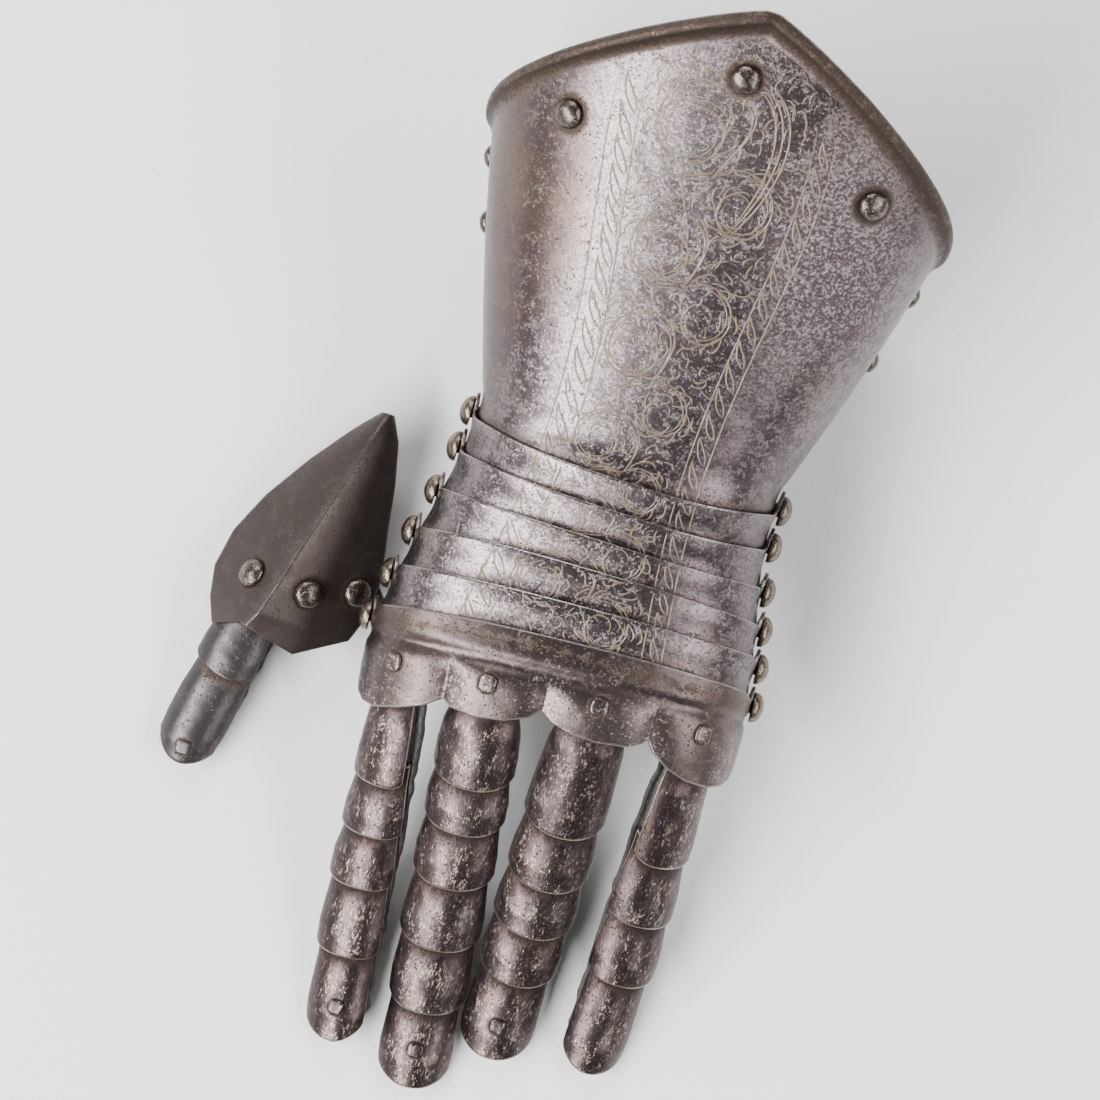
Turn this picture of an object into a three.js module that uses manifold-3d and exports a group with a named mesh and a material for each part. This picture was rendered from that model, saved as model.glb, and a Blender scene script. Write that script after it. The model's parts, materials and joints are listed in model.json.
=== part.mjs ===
// An articulated steel gauntlet for the left hand, lying palm down, in millimetres.
// +Z is up, +Y points to the open rim of the cuff, +X to the little finger.
// Places are first measured from the midpoint of the wrist rivets, on the floor.
import * as THREE from 'three';
import Module from 'manifold-3d';
import { mergeVertices } from 'three/addons/utils/BufferGeometryUtils.js';

// Plate stock and the play between pieces
const plateThickness = 1.0;
const plateGap = 0.5;
const restGap = 0.3;
const leatherThickness = 1.6;

// The back of the hand, between the wrist rivets and the knuckle rivets
const wristHalfWidth = 47.5;
const knuckleHalfWidth = 57.7;
const handLength = 62.1;
const wristPivotHeight = 28;
const wristArch = 36;
const earRadius = 5.8;
const lameOverlap = 7.5;
const archPower = 2.3;
const facetAngle = 10.2;
const lameCount = 5;
const lamePitch = handLength / lameCount;
const lowerEarShare = 0.86;
const earBlend = { start: 0.6, end: 2.2 };

// The cuff
const cuffLength = 131.4;
const cuffSideLength = 86.8;
const rimHalfWidth = 69;
const rimTopHeight = 110;
const rimWaistHeight = 45;
const rimRollRadius = 2.3;
const rimSeat = 3.4 * rimRollRadius;
const cuffNeck = 10;
const flareBow = 0.2;
const topBow = 1.05;
const rimPeakShare = 0.17;
const rimPeakPower = 2.5;
const palmRimFall = 8;
const innerTopAngle = 4;
const innerFacetCount = 15;

// The knuckle plate
const knucklePlateLength = 25.6;
const knuckleDrop = 7.8;
const bossHeight = 2.2;
const skirtShare = 0.4;
const dropPower = 1.6;
const dropSpread = 0.12;
const flute = { depth: 0.5, place: 0.16, width: 0.09 };
const boss = { start: 0.15, full: 0.45, power: 2.4, level: 0.45 };

// Fingers and thumb
const fingerReach = 136;
const scaleHalfWidth = 12.6;
const scaleArch = 9;
const tipHeight = 7.7;
const scaleOverlap = 5.5;
const scaleRounding = 8;
const hiddenRounding = 0.5;
const tipRounding = 11.5;
const scaleHalfAngle = 78;
const firstScaleShort = 0.15;
const scaleRootDepth = 0.9;
const leatherRootLength = 8;
const leatherTipLength = 2;
const rootTuck = 1;
const thumbReach = 48;
const thumbHalfWidth = 10.6;
const thumbCoverLength = 78;
const thumbCoverWidth = 42;
const thumbSlant = 1.25;
const tabWidth = 9;

// Rivets
const pivotHeadRadius = 4.6;
const pivotHeadHeight = 3.6;
const pivotShankRadius = 2;
const rimRivetRadius = 4.4;
const rimRivetHeight = 2.8;
const rimRivetInset = 19.9;
const smallShankRadius = 1.4;
const flatRivetRadius = 2.6;
const rivetClearance = 0.3;
const innerHeadThickness = 0.8;
const innerHeadShare = 1.4;
const domeShoulder = 0.72;
const cutterLength = 12;

const step = plateThickness + plateGap;

// Rivet lines from the wrist to the knuckles. along is a share of handLength, widen goes from the
// wrist's half width to the knuckles', lift is a share of wristPivotHeight, arch and the two edge
// places are shares of wristArch, and fan is the turn of the rivet line in degrees.
const rivetLines = [
  { along: 0.00, widen: 0.00, lift: 1.00, arch: 1.000, topEdge: -0.180, sideEdge: -0.04, fan: 0.0 },
  { along: 0.18, widen: 0.05, lift: 0.97, arch: 0.965, topEdge: -0.120, sideEdge: -0.03, fan: 0.0 },
  { along: 0.40, widen: 0.28, lift: 0.94, arch: 0.935, topEdge: 0.000, sideEdge: 0.03, fan: 0.6 },
  { along: 0.60, widen: 0.55, lift: 0.925, arch: 0.930, topEdge: 0.100, sideEdge: 0.04, fan: 1.8 },
  { along: 0.80, widen: 0.79, lift: 0.915, arch: 0.935, topEdge: 0.140, sideEdge: 0.09, fan: 3.3 },
  { along: 1.00, widen: 1.00, lift: 0.900, arch: 0.945, topEdge: 0.180, sideEdge: 0.10, fan: 4.4 },
];

// The knuckle plate's lower edge. across is a share of knuckleHalfWidth, down of knucklePlateLength.
const knuckleEdge = [
  { across: -0.945, down: 0.95 },
  { across: -0.88, down: 0.99 },
  { across: -0.75, down: 0.93 },
  { across: -0.64, down: 0.84 },
  { across: -0.555, down: 0.70 },
  { across: -0.50, down: 0.78 },
  { across: -0.36, down: 0.82 },
  { across: -0.21, down: 0.78 },
  { across: -0.10, down: 0.69 },
  { across: -0.04, down: 0.57 },
  { across: 0.02, down: 0.67 },
  { across: 0.12, down: 0.75 },
  { across: 0.26, down: 0.78 },
  { across: 0.42, down: 0.75 },
  { across: 0.50, down: 0.68 },
  { across: 0.53, down: 0.61 },
  { across: 0.57, down: 0.75 },
  { across: 0.65, down: 0.89 },
  { across: 0.75, down: 0.98 },
  { across: 0.87, down: 1.00 },
  { across: 0.945, down: 0.95 },
];
const knuckleCreases = [-0.555, -0.04, 0.53];

// Fingers. root and tip are places across as shares of knuckleHalfWidth, reach is a share of
// fingerReach from the knuckle rivets, wide is a share of scaleHalfWidth, roll turns the tip
// outwards in degrees and ends holds each scale's lower end as a share of the finger's length.
// round is a share of scaleRounding and power shapes that curve: a high one leaves the edge straight
// between round corners. right and left say how far round the finger the scales reach, as shares of
// scaleHalfAngle, and leather how far the strip stands past the tip, as a share of leatherTipLength.
const fingers = [
  { name: 'index', root: -0.80, tip: -0.53, reach: 0.955, wide: 0.90, roll: 8,
    ends: [0.24, 0.39, 0.545, 0.75, 1], round: 0.5, power: 4, right: 0.72, left: 1, leather: 0.4,
    rivet: true },
  { name: 'middle', root: -0.325, tip: -0.07, reach: 1.0, wide: 1.0, roll: 0,
    ends: [0.20, 0.32, 0.465, 0.63, 0.80, 1], round: 1, power: 2.4, right: 1, left: 1, leather: -0.7,
    rivet: true },
  { name: 'ring', root: 0.235, tip: 0.275, reach: 0.885, wide: 1.0, roll: 0,
    ends: [0.31, 0.475, 0.62, 0.77, 1], round: 1.05, power: 2.2, right: 1, left: 1, leather: -0.7,
    rivet: true },
  { name: 'little', root: 0.79, tip: 0.785, reach: 0.85, wide: 0.90, roll: -9,
    ends: [0.30, 0.50, 0.70, 1], round: 0.75, power: 3, right: 1, left: 0.8, leather: -0.7,
    rivet: false },
];
const thumb = {
  ends: [0.4, 1], round: 0.65, power: 2.8, right: 0.85, left: 1, leather: 0.3, rivet: true,
};

// The thumb cover from its point to its lower edge. along is a share of thumbCoverLength, the x
// columns are shares of thumbCoverWidth from the point's line, and the heights of thumbHalfWidth.
const thumbCover = [
  { along: 0.03, left: -0.05, ridge: 0.00, right: 0.05, leftUp: 1.5, ridgeUp: 1.75, rightUp: 1.6 },
  { along: 0.12, left: -0.20, ridge: -0.04, right: 0.13, leftUp: 1.3, ridgeUp: 1.95, rightUp: 1.5 },
  { along: 0.28, left: -0.43, ridge: -0.11, right: 0.20, leftUp: 1.0, ridgeUp: 2.15, rightUp: 1.35 },
  { along: 0.46, left: -0.65, ridge: -0.20, right: 0.25, leftUp: 0.75, ridgeUp: 2.3, rightUp: 1.2 },
  { along: 0.63, left: -0.80, ridge: -0.29, right: 0.31, leftUp: 0.55, ridgeUp: 2.4, rightUp: 1.1 },
  { along: 0.78, left: -0.85, ridge: -0.36, right: 0.30, leftUp: 0.6, ridgeUp: 2.45, rightUp: 1.05 },
  { along: 0.90, left: -0.81, ridge: -0.43, right: 0.22, leftUp: 0.85, ridgeUp: 2.4, rightUp: 1.15 },
  { along: 1.00, left: -0.74, ridge: -0.49, right: -0.12, leftUp: 1.1, ridgeUp: 2.25, rightUp: 1.6 },
];
const thumbPoint = { across: -1.24, along: -0.10 };

// Colours of the bare metal and leather
const finishes = {
  steel: { color: 0x7d7770, roughness: 0.36, metalness: 0.95 },
  thumbSteel: { color: 0x55504a, roughness: 0.55, metalness: 0.85 },
  rivet: { color: 0x776a58, roughness: 0.42, metalness: 0.9 },
  leather: { color: 0x1c1815, roughness: 0.75, metalness: 0 },
};

const wasm = await Module();
wasm.setup();

const lerp = THREE.MathUtils.lerp;
const degrees = THREE.MathUtils.degToRad;
const ramp = (x, low, high) => THREE.MathUtils.smoothstep(x, low, high);

// A wall between two grids of points that both run over the same two counters.
function wallBetween(outer, inner, columns, rows) {
  const points = [];
  const faces = [];
  for (const surface of [outer, inner]) {
    for (let i = 0; i <= columns; i++) {
      for (let j = 0; j <= rows; j++) {
        const p = surface(i, j);
        points.push(p.x, p.y, p.z);
      }
    }
  }
  const layer = (columns + 1) * (rows + 1);
  const at = (side, i, j) => side * layer + i * (rows + 1) + j;
  const quad = (a, b, c, d) => faces.push(a, b, c, a, c, d);
  for (let i = 0; i < columns; i++) {
    for (let j = 0; j < rows; j++) {
      quad(at(0, i, j), at(0, i + 1, j), at(0, i + 1, j + 1), at(0, i, j + 1));
      quad(at(1, i, j), at(1, i, j + 1), at(1, i + 1, j + 1), at(1, i + 1, j));
    }
    quad(at(0, i, 0), at(1, i, 0), at(1, i + 1, 0), at(0, i + 1, 0));
    quad(at(0, i, rows), at(0, i + 1, rows), at(1, i + 1, rows), at(1, i, rows));
  }
  for (let j = 0; j < rows; j++) {
    quad(at(0, 0, j), at(0, 0, j + 1), at(1, 0, j + 1), at(1, 0, j));
    quad(at(0, columns, j), at(1, columns, j), at(1, columns, j + 1), at(0, columns, j + 1));
  }
  const geometry = new THREE.BufferGeometry();
  geometry.setAttribute('position', new THREE.Float32BufferAttribute(points, 3));
  geometry.setIndex(faces);
  return facingOut(geometry);
}

// Turns every face round where the solid encloses a negative volume.
function facingOut(geometry) {
  const p = geometry.attributes.position;
  const index = geometry.index.array;
  const corner = [new THREE.Vector3(), new THREE.Vector3(), new THREE.Vector3()];
  let volume = 0;
  for (let f = 0; f < index.length; f += 3) {
    corner.forEach((c, k) => c.fromBufferAttribute(p, index[f + k]));
    volume += corner[0].dot(corner[1].clone().cross(corner[2]));
  }
  if (volume < 0) {
    for (let f = 0; f < index.length; f += 3) {
      [index[f + 1], index[f + 2]] = [index[f + 2], index[f + 1]];
    }
  }
  return geometry;
}

function toSolid(geometry) {
  const bare = geometry.clone();
  bare.deleteAttribute('normal');
  bare.deleteAttribute('uv');
  const merged = mergeVertices(bare, 1e-4);
  return new wasm.Manifold(new wasm.Mesh({
    numProp: 3,
    vertProperties: new Float32Array(merged.attributes.position.array),
    triVerts: new Uint32Array(merged.index.array),
  }));
}

function toGeometry(solid) {
  const mesh = solid.getMesh();
  const geometry = new THREE.BufferGeometry();
  geometry.setAttribute('position', new THREE.Float32BufferAttribute(mesh.vertProperties, 3));
  geometry.setIndex(Array.from(mesh.triVerts));
  return geometry;
}

function placed(geometry, place) {
  return geometry.clone().applyMatrix4(place);
}

function drilled(geometry, holes) {
  let solid = toSolid(geometry);
  for (const hole of holes) {
    solid = solid.subtract(toSolid(hole));
  }
  return toGeometry(solid);
}

function joined(geometry, extras) {
  let solid = toSolid(geometry);
  for (const extra of extras) {
    solid = solid.add(toSolid(extra));
  }
  return toGeometry(solid);
}

function finished(name, geometry, finish) {
  const mesh = new THREE.Mesh(geometry, new THREE.MeshStandardMaterial(finishes[finish]));
  mesh.name = name;
  return mesh;
}

// A rivet along +Z: a dome on the outer face at z = 0, a shank and a small head inside.
function rivetShape(headRadius, headHeight, shankRadius, grip, sides) {
  const innerHead = shankRadius * innerHeadShare;
  const top = rivetClearance;
  const bottom = -grip - 2 * rivetClearance - innerHead * step / lamePitch;
  const profile = [
    [0, bottom - innerHeadThickness],
    [innerHead, bottom - innerHeadThickness],
    [innerHead, bottom],
    [shankRadius, bottom],
    [shankRadius, top],
    [headRadius, top],
    [headRadius * domeShoulder, top + headHeight * domeShoulder],
    [0, top + headHeight],
  ];
  const lathe = new THREE.LatheGeometry(profile.map(([r, z]) => new THREE.Vector2(r, z)), sides);
  lathe.rotateX(Math.PI / 2);
  return facingOut(mergedShape(lathe));
}

function mergedShape(geometry) {
  geometry.deleteAttribute('normal');
  geometry.deleteAttribute('uv');
  return mergeVertices(geometry, 1e-4);
}

// A round cutter or post along +Z, centred.
function post(radius, length, sides) {
  const cylinder = new THREE.CylinderGeometry(radius, radius, length, sides);
  return mergedShape(cylinder.rotateX(Math.PI / 2));
}

// A low squarish rivet head that is fused to the plate under it.
function flatHead(radius, height) {
  const head = new THREE.CylinderGeometry(radius * domeShoulder, radius, height, 8);
  return mergedShape(head.rotateX(Math.PI / 2));
}

// The place of a piece whose +Z stands on a surface with the given outward direction.
function standing(position, outward, turn = 0) {
  const spin = new THREE.Quaternion().setFromAxisAngle(new THREE.Vector3(0, 0, 1), turn);
  const lean = new THREE.Quaternion().setFromUnitVectors(new THREE.Vector3(0, 0, 1), outward);
  return new THREE.Matrix4().compose(position, lean.multiply(spin), new THREE.Vector3(1, 1, 1));
}

// The outward direction of a surface at a pair of its parameters, from its own differences.
function outwardOf(surface, a, b, inside) {
  const d = 0.01;
  const p = surface(a, b);
  const along = surface(a + d, b).sub(surface(a - d, b));
  const across = surface(a, b + d).sub(surface(a, b - d));
  const normal = along.cross(across).normalize();
  return normal.dot(p.clone().sub(inside)) < 0 ? normal.negate() : normal;
}

const pivots = rivetLines.map((line) => ({
  y: -line.along * handLength,
  z: line.lift * wristPivotHeight,
  halfWidth: lerp(wristHalfWidth, knuckleHalfWidth, line.widen),
  arch: line.arch * wristArch,
  topEdge: line.topEdge * wristArch,
  sideEdge: line.sideEdge * wristArch,
  fan: degrees(line.fan),
}));

function fromPivot(pivot, x, y, z) {
  const cos = Math.cos(pivot.fan);
  const sin = Math.sin(pivot.fan);
  return new THREE.Vector3(x * cos - y * sin, pivot.y + x * sin + y * cos, pivot.z + z);
}

// An angle round the arch, 0 at the right rivet and 90 at the top, as a side share and a rise share.
function archShares(angle) {
  const a = degrees(angle);
  const share = 2 / archPower;
  return {
    side: Math.sign(Math.cos(a)) * Math.abs(Math.cos(a)) ** share,
    rise: Math.sign(Math.sin(a)) * Math.abs(Math.sin(a)) ** share,
  };
}

// The angle of a counted facet line: plates that slide on each other have their facets in line.
function facetAt(i, columns) {
  return 90 + facetAngle * (i - columns / 2);
}

// The barrel that plates slide on: it keeps its distance from the rivet line as the plates turn.
function barrel(pivot, inset, side, rise, forward) {
  const arch = pivot.arch - inset;
  const height = rise * arch * Math.sqrt(Math.max(0, 1 - (forward / arch) ** 2));
  const reach = Math.min(1, Math.hypot(height, forward) / arch);
  const out = (pivot.halfWidth - inset) * (1 - reach ** archPower) ** (1 / archPower);
  return fromPivot(pivot, Math.sign(side) * out, forward, height);
}

// The upper and lower edges of the plates that meet on one rivet line, measured forward from it.
function upperEdge(pivot, side, rise) {
  const height = rise * pivot.arch;
  const ear = Math.sqrt(Math.max(0, earRadius ** 2 - height ** 2));
  const main = lerp(pivot.topEdge, pivot.sideEdge, Math.abs(side) ** 3);
  return lerp(ear, main, ramp(height / earRadius, earBlend.start, earBlend.end));
}

function lowerEdge(pivot, side, rise) {
  const height = rise * pivot.arch;
  const ear = -Math.sqrt(Math.max(0, (earRadius * lowerEarShare) ** 2 - height ** 2));
  const main = lerp(pivot.topEdge, pivot.sideEdge, Math.abs(side) ** 3) - lameOverlap;
  return lerp(ear, main, ramp(height / earRadius, earBlend.start, earBlend.end));
}

// One lame from the rivet line it turns on to the line of the next plate. share runs down it.
function lamePoint(upper, lower, depth, angle, share) {
  const { side, rise } = archShares(angle);
  const across = side * upper.halfWidth;
  const shift = lower.y - upper.y + across * (Math.tan(lower.fan) - Math.tan(upper.fan));
  const top = upperEdge(upper, side, rise);
  const topOverlapEnd = lowerEdge(upper, side, rise);
  const bottom = shift + lowerEdge(lower, side, rise);
  const bottomOverlapStart = shift + upperEdge(lower, side, rise);
  const forward = lerp(top, bottom, share);
  const start = (top + topOverlapEnd) / 2;
  const end = (bottom + bottomOverlapStart) / 2;
  const travel = (forward - start) / (end - start);
  const blend = ramp(travel, 0, 1);
  const inset = step * travel + depth;
  const near = barrel(upper, inset, side, rise, forward);
  const far = barrel(lower, inset, side, rise, forward - shift);
  return near.lerp(far, blend);
}

function rivetPlace(pivot, side, inset) {
  const position = fromPivot(pivot, side * (pivot.halfWidth - inset), 0, 0);
  const outward = new THREE.Vector3(side * Math.cos(pivot.fan), side * Math.sin(pivot.fan), 0);
  return standing(position, outward);
}

function pivotHoles(pivot) {
  const cutter = post(pivotShankRadius + 2 * restGap, cutterLength, 6);
  return [-1, 1].map((side) => placed(cutter, rivetPlace(pivot, side, 0)));
}

function lame(number) {
  const upper = pivots[number - 1];
  const lower = pivots[number];
  const columns = 20;
  const rows = 4;
  const surface = (depth) => (i, j) =>
    lamePoint(upper, lower, depth, facetAt(i, columns), j / rows);
  const wall = wallBetween(surface(0), surface(plateThickness), columns, rows);
  return drilled(wall, [...pivotHoles(upper), ...pivotHoles(lower)]);
}

// The flared tube of the cuff: half width, top and waist height at a distance from the wrist.
function cuffHalfWidth(y) {
  const start = cuffNeck / 2;
  const run = Math.max(0, y - start) + 0.3 * start * Math.exp(-Math.abs(y / start - 1) / 0.8);
  const share = run / (cuffSideLength - start);
  const flare = rimHalfWidth - wristHalfWidth + step;
  return wristHalfWidth - step + flare * share * (1 + flareBow * (1 - share));
}

function cuffTop(y) {
  const share = Math.max(0, y) / cuffLength;
  const wristTop = wristPivotHeight + wristArch - step;
  return lerp(wristTop, rimTopHeight, share ** topBow);
}

function cuffWaist(y) {
  return lerp(wristPivotHeight, rimWaistHeight, y / cuffSideLength);
}

function rimPlace(angle) {
  const a = degrees(angle);
  const fall = cuffLength - cuffSideLength;
  if (Math.sin(a) < 0) {
    return cuffSideLength + palmRimFall * Math.sin(a);
  }
  const peak = rimPeakShare * (1 - Math.sin(a)) ** rimPeakPower;
  return cuffLength - fall * ((1 - rimPeakShare) * Math.abs(Math.cos(a)) + peak);
}

function cuffFlare(inset, angle, y) {
  const { side, rise } = archShares(angle);
  const waist = cuffWaist(y);
  const span = rise > 0 ? cuffTop(y) - waist : waist + step;
  return new THREE.Vector3(side * (cuffHalfWidth(y) - inset), y, waist + rise * (span - inset));
}

// The cuff's surface, which runs on to the wrist rivets' barrel under the first lame.
function cuffPoint(inset, angle, y) {
  const { side, rise } = archShares(angle);
  const pivot = pivots[0];
  const centre = (upperEdge(pivot, side, rise) + lowerEdge(pivot, side, rise)) / 2;
  const flareStart = cuffNeck * lerp(1, 0.8, Math.max(0, rise));
  const travel = (flareStart - y) / (flareStart - centre);
  const extra = Math.max(0, centre - y) * step / lamePitch;
  const tight = barrel(pivot, step + extra + inset, side, rise, y);
  return cuffFlare(inset, angle, y).lerp(tight, ramp(travel, 0, 1));
}

function cuffWristEdge(angle) {
  const { side, rise } = archShares(angle);
  const fade = Math.max(0, -rise * pivots[0].arch - earRadius);
  return lowerEdge(pivots[0], side, rise) + fade;
}

// The rolled rim as a ring of points round a wire, from the outer face to the inner one.
function rollPoint(angle, turn, inset) {
  const end = rimPlace(angle) - rimRollRadius;
  const foot = cuffPoint(plateThickness / 2, angle, end);
  const outward = cuffOutward(angle, end);
  const forward = new THREE.Vector3(0, 1, 0);
  forward.addScaledVector(outward, -forward.dot(outward)).normalize();
  const radius = rimRollRadius - inset;
  foot.addScaledVector(outward, 0.5 * plateThickness + radius * Math.sin(turn));
  return foot.addScaledVector(forward, radius * Math.cos(turn));
}

function cuffOutward(angle, y) {
  const surface = (a, b) => cuffPoint(0, a, b);
  const edgeSafe = Math.abs(angle - 90) < 0.02 ? angle + 0.02 : angle;
  const normal = outwardOf(surface, edgeSafe, y, new THREE.Vector3(0, y, cuffWaist(y)));
  return Math.abs(angle - 90) < 0.02 ? normal.setX(0).normalize() : normal;
}

function rivetOnCuff(angle, y) {
  return standing(cuffPoint(0, angle, y), cuffOutward(angle, y));
}

const rimRivets = [
  { name: 'rim_rivet_left', angle: 129 },
  { name: 'rim_rivet_centre', angle: 90.8 },
  { name: 'rim_rivet_right', angle: 54 },
].map((rivet) => ({ ...rivet, y: rimPlace(rivet.angle) - rimRivetInset }));
const cuffSideRivets = [
  { name: 'cuff_side_rivet_1', angle: 192, y: cuffSideLength * 0.845 },
  { name: 'cuff_side_rivet_2', angle: 192, y: cuffSideLength * 0.63 },
  { name: 'cuff_side_rivet_3', angle: -12, y: cuffSideLength * 0.83 },
  { name: 'cuff_side_rivet_4', angle: -12, y: cuffSideLength * 0.58 },
];

function cuffPlate() {
  const columns = 22;
  const plateRows = [0, 0.07, 0.14, 0.21, 0.32, 0.5, 0.67, 0.84, 1];
  const rollTurns = [2.3, 1.3, 0.4];
  const angleOf = (i) => facetAt(i, columns);
  const surface = (depth, sign) => (i, j) => {
    const angle = angleOf(i);
    if (j >= plateRows.length) {
      return rollPoint(angle, sign * rollTurns[j - plateRows.length], 0);
    }
    const end = rimPlace(angle) - rimSeat;
    return cuffPoint(depth, angle, lerp(cuffWristEdge(angle), end, plateRows[j]));
  };
  const rows = plateRows.length + rollTurns.length - 1;
  const wall = wallBetween(surface(0, 1), surface(plateThickness, -1), columns, rows);
  const smallHole = post(smallShankRadius + restGap, cutterLength, 8);
  const rivets = [...rimRivets, ...cuffSideRivets];
  const holes = rivets.map((rivet) => placed(smallHole, rivetOnCuff(rivet.angle, rivet.y)));
  return drilled(wall, [...pivotHoles(pivots[0]), ...holes]);
}

// The palm side of the cuff, inside the dorsal plate at both seams and flat underneath.
const innerFacet = (180 - 2 * innerTopAngle) / innerFacetCount;

function innerCuffPoint(inset, angle, y) {
  const { side, rise } = archShares(angle);
  const waist = cuffWaist(y);
  const flatShare = Math.abs(Math.sin(degrees(90 - innerFacet / 2))) ** (2 / archPower);
  const fall = waist * rise / flatShare;
  const z = waist + fall * (1 - inset / waist);
  return new THREE.Vector3(side * (cuffHalfWidth(y) - step - inset), y, z);
}

function innerCuffPlate() {
  const rows = 3;
  const surface = (inset) => (i, j) => {
    const angle = -innerTopAngle - innerFacet * i;
    const depth = Math.abs(Math.sin(degrees(angle)));
    const start = lerp(cuffNeck, -earRadius, ramp(depth, 0.3, 0.7));
    const end = rimPlace(angle) - rimSeat;
    return innerCuffPoint(inset, angle, lerp(start, end, j / rows));
  };
  const wall = wallBetween(surface(0), surface(plateThickness), innerFacetCount, rows);
  const hole = post(smallShankRadius + restGap, cutterLength, 8);
  const holes = cuffSideRivets.map((rivet) => placed(hole, rivetOnCuff(rivet.angle, rivet.y)));
  return drilled(wall, holes);
}

// The knuckle plate, measured from the last rivet line.
function knuckleEdgeDown(across) {
  const last = knuckleEdge.length - 1;
  const x = Math.min(Math.max(across, knuckleEdge[0].across), knuckleEdge[last].across);
  const next = Math.max(1, knuckleEdge.findIndex((row) => row.across >= x));
  const a = knuckleEdge[next - 1];
  const b = knuckleEdge[next];
  return knucklePlateLength * lerp(a.down, b.down, (x - a.across) / (b.across - a.across));
}

function knuckleLower(side, rise) {
  const fade = ramp(rise, -0.2, 0.4);
  return -lerp(knucklePlateLength * skirtShare, knuckleEdgeDown(side), fade);
}

// Proud of the plain form: a flute under the upper edge, a boss on each knuckle, creases between.
function knuckleRelief(side, down) {
  const bounds = [-1.05, ...knuckleCreases, 1.05];
  const cell = bounds.findIndex((edge, k) => side >= edge && side <= bounds[k + 1]);
  const middle = (bounds[cell] + bounds[cell + 1]) / 2;
  const half = (bounds[cell + 1] - bounds[cell]) / 2;
  const round = 1 - Math.abs((side - middle) / half) ** boss.power;
  const share = down / knucklePlateLength;
  const sink = flute.depth * Math.exp(-(((share - flute.place) / flute.width) ** 2));
  return bossHeight * (ramp(share, boss.start, boss.full) * (round - boss.level) - sink);
}

function knucklePoint(inset, side, rise, forward) {
  const pivot = pivots[lameCount];
  const down = Math.max(0, -forward);
  const upper = upperEdge(pivot, side, rise);
  const start = (upper + lowerEdge(pivot, side, rise)) / 2;
  const depth = inset + step * Math.min(0, (start - forward) / lamePitch);
  const near = barrel(pivot, depth, side, rise, forward);
  const drop = knuckleDrop * (down / knucklePlateLength) ** dropPower;
  const relief = knuckleRelief(side, down);
  const out = pivot.halfWidth - inset + relief - dropSpread * drop;
  const up = pivot.arch - inset + relief - drop;
  const far = fromPivot(pivot, side * out, forward, rise * up);
  return near.lerp(far, ramp((start - forward) / earRadius, 0.09, 0.95));
}

function riseAt(side) {
  return Math.max(0, 1 - Math.abs(side) ** archPower) ** (1 / archPower);
}

const knuckleRivetSpots = [
  { side: -0.81, down: 0.44 },
  { side: -0.33, down: 0.42 },
  { side: 0.235, down: 0.38 },
  { side: 0.77, down: 0.42 },
];

function knucklePlate() {
  const skirts = [-0.22, -0.08, 0.1, 0.26];
  const shares = [
    ...skirts.map((rise) => ({ side: -1, rise })),
    ...knuckleEdge.map((row) => ({ side: row.across, rise: riseAt(row.across) })),
    ...skirts.reverse().map((rise) => ({ side: 1, rise })),
  ];
  const full = shares.map(({ side, rise }) => ({
    side: Math.abs(side) === 1 ? side * (1 - Math.abs(rise) ** archPower) ** (1 / archPower) : side,
    rise,
  }));
  const rows = 6;
  const surface = (inset) => (i, j) => {
    const { side, rise } = full[i];
    const top = upperEdge(pivots[lameCount], side, rise);
    return knucklePoint(inset, side, rise, lerp(top, knuckleLower(side, rise), j / rows));
  };
  const wall = wallBetween(surface(0), surface(plateThickness), full.length - 1, rows);
  const drilledWall = drilled(wall, pivotHoles(pivots[lameCount]));
  const head = flatHead(flatRivetRadius, plateThickness * 1.6);
  const heads = knuckleRivetSpots.map(({ side, down }) => {
    const forward = -down * knucklePlateLength;
    const spot = (a, b) => knucklePoint(0, a, riseAt(a), b);
    const inside = fromPivot(pivots[lameCount], 0, forward, 0);
    const place = standing(spot(side, forward), outwardOf(spot, side, forward, inside));
    return placed(head, place);
  });
  return joined(drilledWall, heads);
}

// The line that a finger's scales follow, with its own sideways, outward and forward directions.
function fingerLine(finger) {
  const pivot = pivots[lameCount];
  const startDown = knuckleEdgeDown(finger.root) - rootTuck;
  const spot = (a, b) => knucklePoint(0, a, riseAt(a), b);
  const root = spot(finger.root, -startDown);
  const inside = fromPivot(pivot, 0, -startDown, 0);
  const plateUp = outwardOf(spot, finger.root, -startDown, inside);
  const rootRoll = Math.atan2(plateUp.x, plateUp.z);
  const tip = new THREE.Vector3(
    finger.tip * knuckleHalfWidth, pivot.y - finger.reach * fingerReach, tipHeight);
  const length = root.y - tip.y;
  const at = (s) => new THREE.Vector3(
    lerp(root.x, tip.x, s),
    lerp(root.y, tip.y, s),
    tip.z + (root.z - tip.z) * (s < 1 ? (1 - s) ** 1.25 : 0) - 2 * Math.max(0, s - 0.93) * tipHeight,
  );
  const frame = (s) => {
    const forward = at(s + 0.005).sub(at(s - 0.005)).normalize();
    const roll = lerp(rootRoll, degrees(-finger.roll), ramp(s, 0, 0.8));
    const sideways = new THREE.Vector3().crossVectors(forward, new THREE.Vector3(0, 0, 1)).normalize();
    const outward = new THREE.Vector3().crossVectors(sideways, forward).normalize();
    const turn = new THREE.Quaternion().setFromAxisAngle(forward, -roll);
    return { forward, sideways: sideways.applyQuaternion(turn), outward: outward.applyQuaternion(turn) };
  };
  return { length, at, frame, half: finger.wide * scaleHalfWidth };
}

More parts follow.
